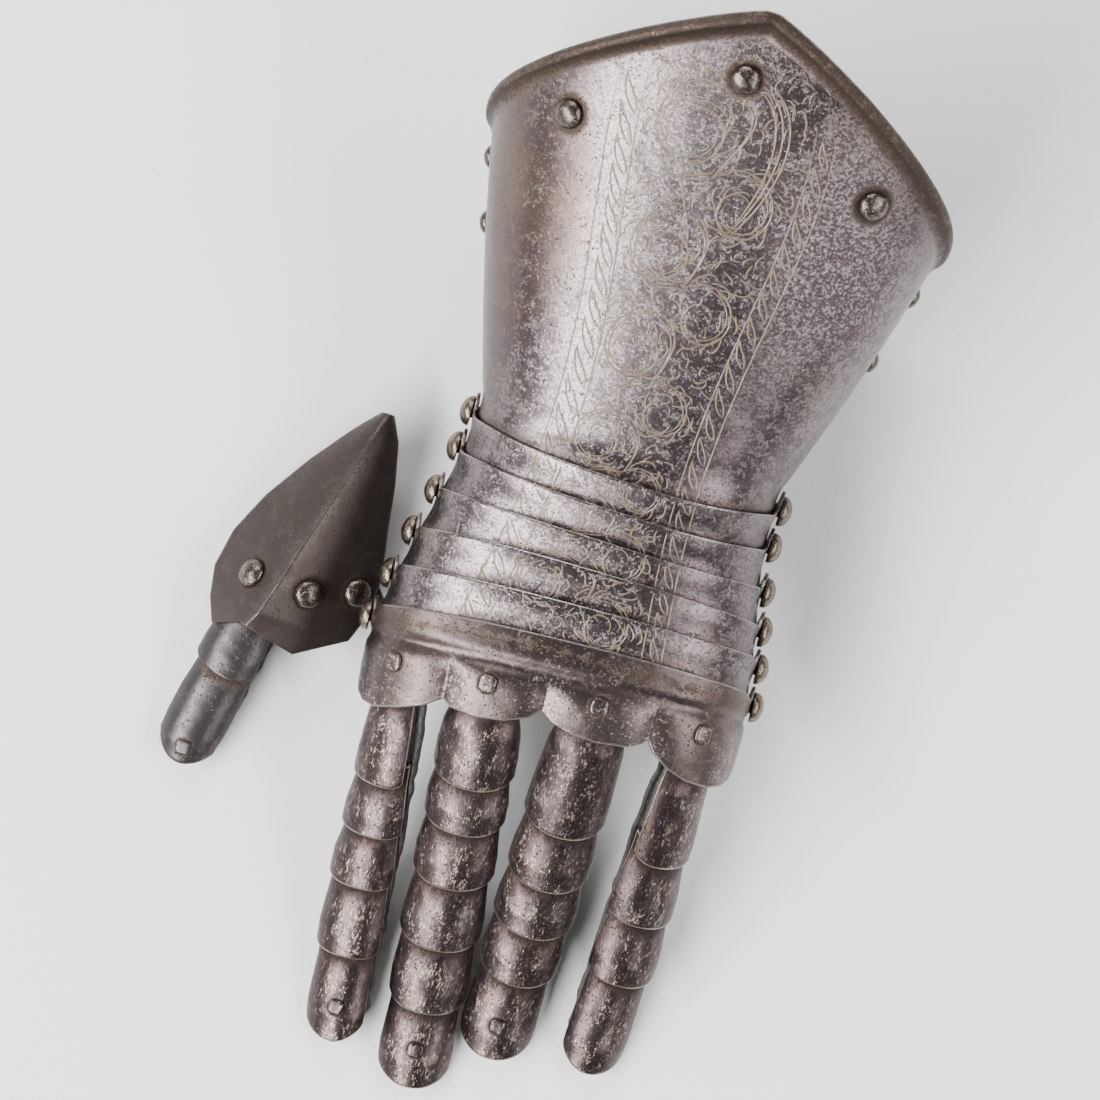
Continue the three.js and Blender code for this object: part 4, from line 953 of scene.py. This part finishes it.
# One scale: it starts a step deeper, under the scale above it, and rises to the finger's surface.
# Its edge falls back towards the sides by round * |share|^power, and the last one ends in a round tip.
def makeScale(name, f, line, number, material):
    ends = f["ends"]
    isTip = number == len(ends) - 1
    before, end = (ends[number - 1] if number else 0.0), ends[number]
    overlap = finger["overlap"] / line["length"]
    rows, across = grids["scale"]
    s0, share = gridOf(np.linspace(before - overlap, end, rows), np.linspace(-1, 1, across))
    plain = f["round"] * finger["round"] * np.abs(share) ** f["power"]
    if isTip:
        knots = [before - overlap, before, lerp(before, end, 0.4), lerp(before, end, 0.7), end]
        insets = [step, step, 0.4 * step, 0.0, 0.0]
        fall = lerp(plain, tipFall(share), np.clip((s0 - knots[3]) / (end - knots[3]), 0, 1))
    else:
        knots, insets = [before - overlap, before, end - overlap, end], [step, step, 0.0, 0.0]
        fall = plain
    short = finger["firstShort"] if number == 0 else 0.0
    right, left = (f[side] - (short if f[side] < 1 else 0.0) for side in ("right", "left"))
    bend = share * np.where(share < 0, right, left)
    fall = fall * lerp(finger["hiddenRound"], 1, np.clip((s0 - s0[:, :1]) / (overlap * 0.9), 0, 1))
    s = s0 - fall / line["length"]
    deep = np.interp(s0, knots, insets) + rootDepth(s)
    outer, inner = archPoint(line, s, bend, deep), archPoint(line, s, bend, deep + stock["plate"])
    bared = (s - before) * line["length"] + (plain if number else 0.0)
    # grime and a painted shadow just below the edge of the scale above, and painted shade towards both
    # sides
    marks = 1.3 * np.exp(-np.maximum(bared, 0) / 1.8) + 0.25 * np.abs(share) ** 5
    rub = (1 - np.abs(share + 0.1) ** 1.6) * ramp(bared, 0.5, 7.0)
    place = line["at"](np.array(0.9)), line["sides"](np.array(0.9))[1]
    hasRivet = isTip and f["rivet"]
    # grime and painted shade round the tip rivet
    if hasRivet:
        marks = np.maximum(marks, 0.8 * halo(outer, [place[0]], rivets["tipRadius"], grimeAndShade["flatHalo"]))
    amount, size, seed = hammer["scale"]
    shapes = [plateShell(*uneven(outer, inner, amount, size, seed + number), 0.3, marks, rub)]
    if hasRivet:
        shapes.append(flatHead(place, rivets["flatRadius"] * 0.85, 0.4))
    nodeName = f"{name}_scale_{number + 1}"
    makePiece(f"{name}Scale{number + 1}", merged(shapes), "hand", material, [nodeName])


# The leather under the scales. Where they leave a side bare it swells out, with a ragged edge.
def makeStrip(name, f, line, start):
    depth = 2 * stock["plate"] + stock["gap"] + 2.5 * stock["rest"]
    rows, across = grids["strip"]
    share, bend = gridOf(np.linspace(0, 1, rows), np.linspace(-0.98, 0.98, across))
    end = 1 + f["leather"] * finger["leatherTip"] / line["length"]
    s = lerp(start, end - tipFall(bend) / line["length"], share)
    bare = lerp(0, 1, (bend < 0) * (f["right"] < 1) + (bend > 0) * (f["left"] < 1))
    cut = np.where(bend < 0, f["right"], f["left"])
    swell = bare * ramp(np.abs(bend), cut + 0.02, cut + 0.14)
    ragged = valueNoise(archPoint(line, s, bend, depth + 0 * s), 3.5, 7)
    inset = depth + rootDepth(s) - swell * (1.9 + 0.7 * ragged)
    outer, inner = (archPoint(line, s, bend, inset + d) for d in (0.0, stock["leather"]))
    shape = plateShell(outer, inner, 0.5)
    makePiece(f"{name}Leather", shape, "hand", leather, [f"{name}_leather"])


for name, f in fingers.items():
    line = fingerLine(f)
    for number in range(len(f["ends"])):
        makeScale(name, f, line, number, scaleSteel)
    makeStrip(name, f, line, -finger["leatherRoot"] / line["length"])
line = thumbLine()
for number in range(len(thumb["ends"])):
    makeScale("thumb", thumb, line, number, thumbScaleSteel)
makeStrip("thumb", thumb, line, -0.1)
print("fingers made")


# The thumb's rivets: row and place across on its cover, and what they hold besides the plate
thumbSpots = ((4.9, -0.42, 0.0), (4.95, 0.33, 0.0), (4.55, 0.8, stock["leather"] + 7 * stock["rest"]))


def makeThumbCover():
    count, rows = grids["thumbCover"]
    row, across = gridOf(np.linspace(0, len(thumbCover) - 1, count), np.linspace(-1, 1, rows))
    plate = [thumbCoverPoint(d, row, across) for d in (0.0, stock["plate"])]
    heads = [thumbCoverPoint(0.0, np.array(a), np.array(b)) for a, b, _ in thumbSpots]
    # grime and painted shade round the rivet heads
    marks = halo(plate[0], heads, rivets["rimRadius"], grimeAndShade["thumbHalo"])
    rub = np.exp(-(across / 0.12) ** 2)
    shape = plateShell(*uneven(*plate, *hammer["thumb"]), 0.35, marks, rub)
    makePiece("thumbCover", shape, "hand", thumbSteel, ["thumb_cover"])


makeThumbCover()
for k, (*spot, held) in enumerate(thumbSpots):
    spot = [np.array(share) for share in spot]
    at = thumbCoverPoint(0.0, *spot)
    outward = outwardOf(lambda a, b: thumbCoverPoint(0.0, a, b), *spot, at * [1, 1, 0], 0.01)
    makeRivet(f"thumb_rivet_{k + 1}", (at, outward), rivets["rimRadius"], rivets["rimHeight"],
              rivets["smallShank"], stock["plate"] * thumb["slant"] + held, "hand", 90 + k, darkRivetMetal)
frame["nodes"]["thumb_tab"].data.materials.clear()
frame["nodes"]["thumb_tab"].data.materials.append(leather)
print("thumb made")

# The etched band: strokes drawn from above, as rows of (x, y) places with a width, then laid on each
# plate as low ribs. A border of paired lines and leaves runs on either side of a foliage scroll.
etching = {"width": 0.58, "spacing": 0.8, "rise": 0.10, "depth": 0.2, "border": 0.5, "filler": 3.7,
           "leaf": 0.6, "blade": 0.7, "turns": 1.45, "shrink": 0.80, "leafStep": 50}
leftLine = np.array([(-36.9, 112.0), (-35.7, 101.8), (-32.9, 75.4), (-28.6, 47.7), (-26.0, 21.5),
                     (-24.2, -3.8), (-28.8, -30.9), (-32.7, -57.5), (-34.0, -66.0)])
rightLine = np.array([(22.3, 104.0), (22.5, 84.0), (22.4, 65.9), (21.4, 47.6), (18.8, 32.5), (16.5, 17.9),
                      (16.0, 0.0), (18.0, -20.0), (21.0, -45.0), (23.0, -66.0)])
# Scrolls down the band: centre x and y, radius, starting angle and turning sense
scrolls = [(-10.5, 94.0, 14.5, 60, 1), (8.0, 76.0, 12.0, 150, -1), (-8.5, 59.5, 12.0, 80, 1),
           (7.5, 44.0, 10.5, 140, -1), (-7.5, 30.5, 11.0, 80, 1), (5.0, 15.0, 9.0, 130, -1),
           (-9.5, 3.0, 9.0, 70, 1), (6.0, -9.0, 8.0, 140, -1), (-11.5, -20.5, 9.0, 70, 1),
           (7.0, -29.0, 9.0, 140, -1), (-12.5, -41.0, 9.5, 70, 1), (8.0, -49.0, 9.5, 140, -1)]
leftCurve, rightCurve = (np.polyfit(line[:, 1], line[:, 0], 4) for line in (leftLine, rightLine))


def bezier(a, b, c, d, count=30):  # a cubic curve through a and d, pulled towards b and c
    t = np.linspace(0, 1, count)[:, None]
    a, b, c, d = (np.asarray(corner, float) for corner in (a, b, c, d))
    return a * (1 - t) ** 3 + 3 * b * t * (1 - t) ** 2 + 3 * c * t ** 2 * (1 - t) + d * t ** 3


def spiral(x, y, radius, start, sense, turns, shrink):  # radius * (1 - shrink * t) as it turns
    t = np.linspace(0, 1, int(50 * turns))
    angle = np.radians(start + sense * 360 * turns * t)
    r = radius * (1 - shrink * t)
    return np.stack([x + r * np.cos(angle), y + r * np.sin(angle)], -1)


# A hooked leaf from its root: its heading turns by curl * (0.25 t + t^3), its inner line turns less.
def leaf(root, angle, length, curl):
    t = np.linspace(0, 1, 16)
    strokes = []
    for bend, share in ((curl, 1.0), (curl * 0.62, 0.86)):
        heading = angle + bend * (0.25 * t + t ** 3)
        steps = np.stack([np.cos(heading), np.sin(heading)], -1) * length * share / 15
        strokes.append(root + np.cumsum(steps, 0) - steps[0])
    return strokes


def borderStrokes(line, curve, width, pitch, tall):  # two lines, with pairs of leaves between them
    strokes = []
    y = np.linspace(line[-1, 1], line[0, 1], 90)
    for shift in (0.0, width):
        strokes.append((np.stack([np.polyval(curve, y) + shift, y], -1), etching["border"]))
    for foot in np.arange(line[-1, 1] + 4, line[0, 1] - tall, pitch):
        x = np.polyval(curve, foot) + 1.2
        far = np.polyval(curve, foot) + (width - 1.0)
        for pulls in (((far, foot + 0.45 * tall), (x + 1.2, foot + 0.6 * tall)),
                      ((far - 3.0, foot + 0.2 * tall), (x, foot + 0.5 * tall))):
            strokes.append((bezier((far, foot), *pulls, (x, foot + tall), 14), etching["leaf"]))
    return strokes


def aroundAt(x, y, radius, degrees):  # the place on a circle about x, y
    angle = math.radians(degrees)
    return np.array([x + radius * math.cos(angle), y + radius * math.sin(angle)])


def scrollStrokes():
    strokes = []
    for k, (x, y, radius, start, sense) in enumerate(scrolls):
        width = etching["width"] * lerp(0.75, 1.1, ramp(radius, 6, 13))
        strokes.append((spiral(x, y, radius, start, sense, etching["turns"], etching["shrink"]), width))
        strokes.append((spiral(x, y, radius * 0.86, start + sense * 20, sense, 0.9, 0.60), width * 0.8))
        for turn in range(7):  # leaves off the outer turn, and hooks inside it
            along = turn * etching["leafStep"] + 12
            shrunk = radius * (1 - etching["shrink"] * along / (360 * etching["turns"]))
            root = aroundAt(x, y, shrunk, start + sense * along)
            angle = math.radians(start + sense * along)
            for curve in leaf(root, angle + sense * 1.1, radius * 0.66, sense * 1.5):
                strokes.append((curve, width * 0.8))
            for curve in leaf(root, angle + math.pi - sense * 0.9, radius * 0.45, -sense * 1.8):
                strokes.append((curve, width * 0.7))
        if k + 1 < len(scrolls):  # the stem swings over to the next scroll
            below, belowSense = scrolls[k + 1][2], scrolls[k + 1][4]
            a, d = aroundAt(x, y, radius, start), aroundAt(*scrolls[k + 1][:4])
            for lean in (0.0, 1.3):
                a2 = a + (lean * sense, lean * 0.6)
                strokes.append((bezier(a2, a2 + (sense * radius * 0.9, -radius * 0.3),
                                       d + (-belowSense * below * 0.4, below * 0.9), d, 34), width))
    for k in range(3):  # long blades that sweep over the top scroll's right side
        strokes.append((bezier((4.0 - 2.0 * k, 112.0 - k), (18.0 - 2 * k, 108.0), (21.0 - 3.0 * k, 88.0),
                               (6.0 + k, 66.0 + 3 * k), 40), etching["blade"]))
    return strokes


# Small hooked leaves wherever the band is still bare, turned about the nearest scroll
def fillerStrokes():
    random = np.random.default_rng(5)
    strokes, pitch = [], etching["filler"]
    for y in np.arange(-64.0, 112.0, pitch):
        for x in np.arange(np.polyval(leftCurve, y) + 10.5, np.polyval(rightCurve, y) - 2.0, pitch):
            root = np.array([x, y]) + random.uniform(-1.3, 1.3, 2)
            gaps = [math.hypot(root[0] - row[0], root[1] - row[1]) / row[2] for row in scrolls]
            x0, y0, *_, sense = scrolls[int(np.argmin(gaps))]
            if min(gaps) < 0.35 or 0.7 < min(gaps) < 0.95:
                continue
            angle = math.atan2(root[1] - y0, root[0] - x0) + sense * random.uniform(0.9, 1.8)
            curl = sense * random.uniform(0.9, 1.9) * random.choice([-1, 1])
            for curve in leaf(root, angle, random.uniform(3.8, 6.5), curl):
                strokes.append((curve, etching["width"] * 0.85))
    return strokes


def resampled(stroke, spacing):
    run = np.concatenate([[0], np.cumsum(np.linalg.norm(np.diff(stroke, axis=0), axis=1))])
    count = max(4, int(run[-1] / spacing) + 1)
    at = np.linspace(0, run[-1], count)
    return np.stack([np.interp(at, run, stroke[:, k]) for k in range(2)], -1)


# A stroke becomes a rib: four corners round each point (side, top, side, bottom), tapering to its ends.
# It is cut off where the surface says that its points aren't good.
def ribShape(strokes, surface):
    points, quads, start, first = [], [], 0, 0
    rows = [resampled(stroke, etching["spacing"]) for stroke, _ in strokes]
    place, normal, good = surface(*np.concatenate(rows).T)
    for xy, (_, width) in zip(rows, strokes):
        own = np.arange(first, first + len(xy))
        first += len(xy)
        for run in np.split(own, np.flatnonzero(np.diff(good[own].astype(int))) + 1):
            if len(run) < 4 or not good[run[0]]:
                continue
            t = np.linspace(0, 1, len(run))
            taper = np.minimum(1, 0.25 + 5 * np.minimum(t, 1 - t))[:, None]
            p, n = place[run], normal[run]
            across = unit(np.cross(np.gradient(p, axis=0), n)) * width / 2 * taper
            ring = np.stack([p - across, p + n * etching["rise"] * taper, p + across,
                             p - n * etching["depth"]], 1)
            ids = start + np.arange(len(run) * 4).reshape(-1, 4)
            wide = np.concatenate([ids, ids[:, :1]], 1)
            quads += [gridQuads(wide), ids[:1], ids[-1:, ::-1]]
            points.append(ring.reshape(-1, 3))
            start += len(run) * 4
    return plainShape(np.concatenate(points), quads, 0.0)


def withNormals(spot, x, y, marks):  # the surface's place and upward normal, with its hammer marks
    p, d = spot(x, y), 0.05
    n = unit(np.cross(spot(x + d, y) - p, spot(x, y + d) - p))
    n = n * np.where(n[:, 2:] < 0, -1, 1)
    return p + n * hammerMarks(p, *marks), n


def cuffSurface(x, y):
    def turnAt(a, b, most):  # the angle whose side share is a / half, the shares formula the other way
        share = np.clip(a / cuffHalf(b), -most, most)
        return np.degrees(np.arccos(np.sign(share) * np.abs(share) ** (hand["power"] / 2)))

    y = np.maximum(y, -12.0)
    place, normal = withNormals(lambda a, b: cuffPoint(0.0, turnAt(a, b, 0.99), b), x, y, hammer["cuff"])
    angle = turnAt(x, y, 0.98)
    rim = rimPlace(angle) - cuffGrid["rimSeat"] * cuff["roll"]
    good = (y > cuffWristEdge(angle) + 0.8) & (y < rim - 2.0)
    for rivet in rimRivets.values():
        good &= np.linalg.norm(place - cuffPlace(*rivet)[0], axis=-1) > rivets["rimRadius"] + 0.8
    return place, normal, good


def lameSurface(number):
    upper, lower = pivots[number - 1], pivots[number]

    def sharesAt(x, y):  # the side and share of a place seen from above, closed in on in six steps
        side, share = x / upper["half"], np.full_like(x, 0.4)
        for _ in range(6):
            p = lamePoint(upper, lower, 0.0, side, riseAt(side), share)
            side = np.clip(side + (x - p[:, 0]) / upper["half"], -0.95, 0.95)
            _, top, bottom = lameReach(upper, lower, side, riseAt(side))
            share = np.clip(share + (y - p[:, 1]) / np.minimum(bottom - top, -4), -0.3, 1.3)
        return side, share

    def spot(x, y):
        side, share = sharesAt(x, y)
        return lamePoint(upper, lower, 0.0, side, riseAt(side), share)

    def surface(x, y):
        side, share = sharesAt(x, y)
        place, normal = withNormals(spot, x, y, lameHammer(number))
        return place, normal, (share > 0.04) & (share < 0.8) & (np.abs(side) < 0.85)

    return surface


bandStrokes = (borderStrokes(leftLine, leftCurve, 8.0, 8.6, 11.5)
               + borderStrokes(rightLine, rightCurve, 6.0, 7.4, 8.0)
               + scrollStrokes() + fillerStrokes())
makePiece("cuffEtching", ribShape(bandStrokes, cuffSurface), "cuff", residue)
for number in range(1, lameCount + 1):
    ribs = ribShape(bandStrokes, lameSurface(number))
    makePiece(f"lame{number}Etching", ribs, f"lame_{number}", residue)
print("etching made")


# The floor, the light and the camera. Lengths here are in metres.
floorReach = 3.0
view = {"turn": 18.0, "height": 1.6, "right": -0.01323, "up": -0.03194, "focal": 5322.0, "frame": 1100.0,
        "sensor": 36.0}


floorMesh = bpy.data.meshes.new("floor")
floorMesh.from_pydata([(-floorReach, -floorReach, 0), (floorReach, -floorReach, 0),
                       (floorReach, floorReach, 0), (-floorReach, floorReach, 0)], [], [(0, 1, 2, 3)])
floor = linked("floor", floorMesh)
floorMesh.materials.append(Surface("paper").done(Base_Color=(0.9, 0.9, 0.9, 1.0), Roughness=0.9))


def addLight(name, place, size, power):  # a box light that looks at the origin
    light = bpy.data.lights.new(name, "AREA")
    light.shape, light.size, light.size_y, light.energy = "RECTANGLE", size[0], size[1], power
    lamp = linked(name, light)
    lamp.location = place
    lamp.rotation_euler = (-Vector(place)).to_track_quat("-Z", "Y").to_euler()


def onPhoto(right, up, height):  # a place given along the photo's own right and up, in metres
    c, s = math.cos(math.radians(view["turn"])), math.sin(math.radians(view["turn"]))
    return (right * c - up * s, right * s + up * c, height)


addLight("leftBox", onPhoto(-1.18, -0.45, 1.21), (2.2, 0.22), 90)
addLight("rightBox", onPhoto(1.15, -0.3, 1.02), (1.8, 0.36), 26)
addLight("headBox", onPhoto(-0.1, 1.5, 1.0), (1.2, 0.4), 22)
world = bpy.data.worlds.new("studio")
bpy.context.scene.world = world
world.use_nodes = True
background = world.node_tree.nodes["Background"].inputs
background["Color"].default_value, background["Strength"].default_value = (1, 1, 1, 1), 0.15

cameraData = bpy.data.cameras.new("camera")
camera = linked("camera", cameraData)
cameraData.sensor_width = view["sensor"]
cameraData.lens = view["sensor"] * view["focal"] / view["frame"]
camera.location = (wristMiddle[0] + view["right"], wristMiddle[1] + view["up"], view["height"])
camera.rotation_euler = (0, 0, math.radians(view["turn"]))
bpy.context.scene.camera = camera

print("scene ready")
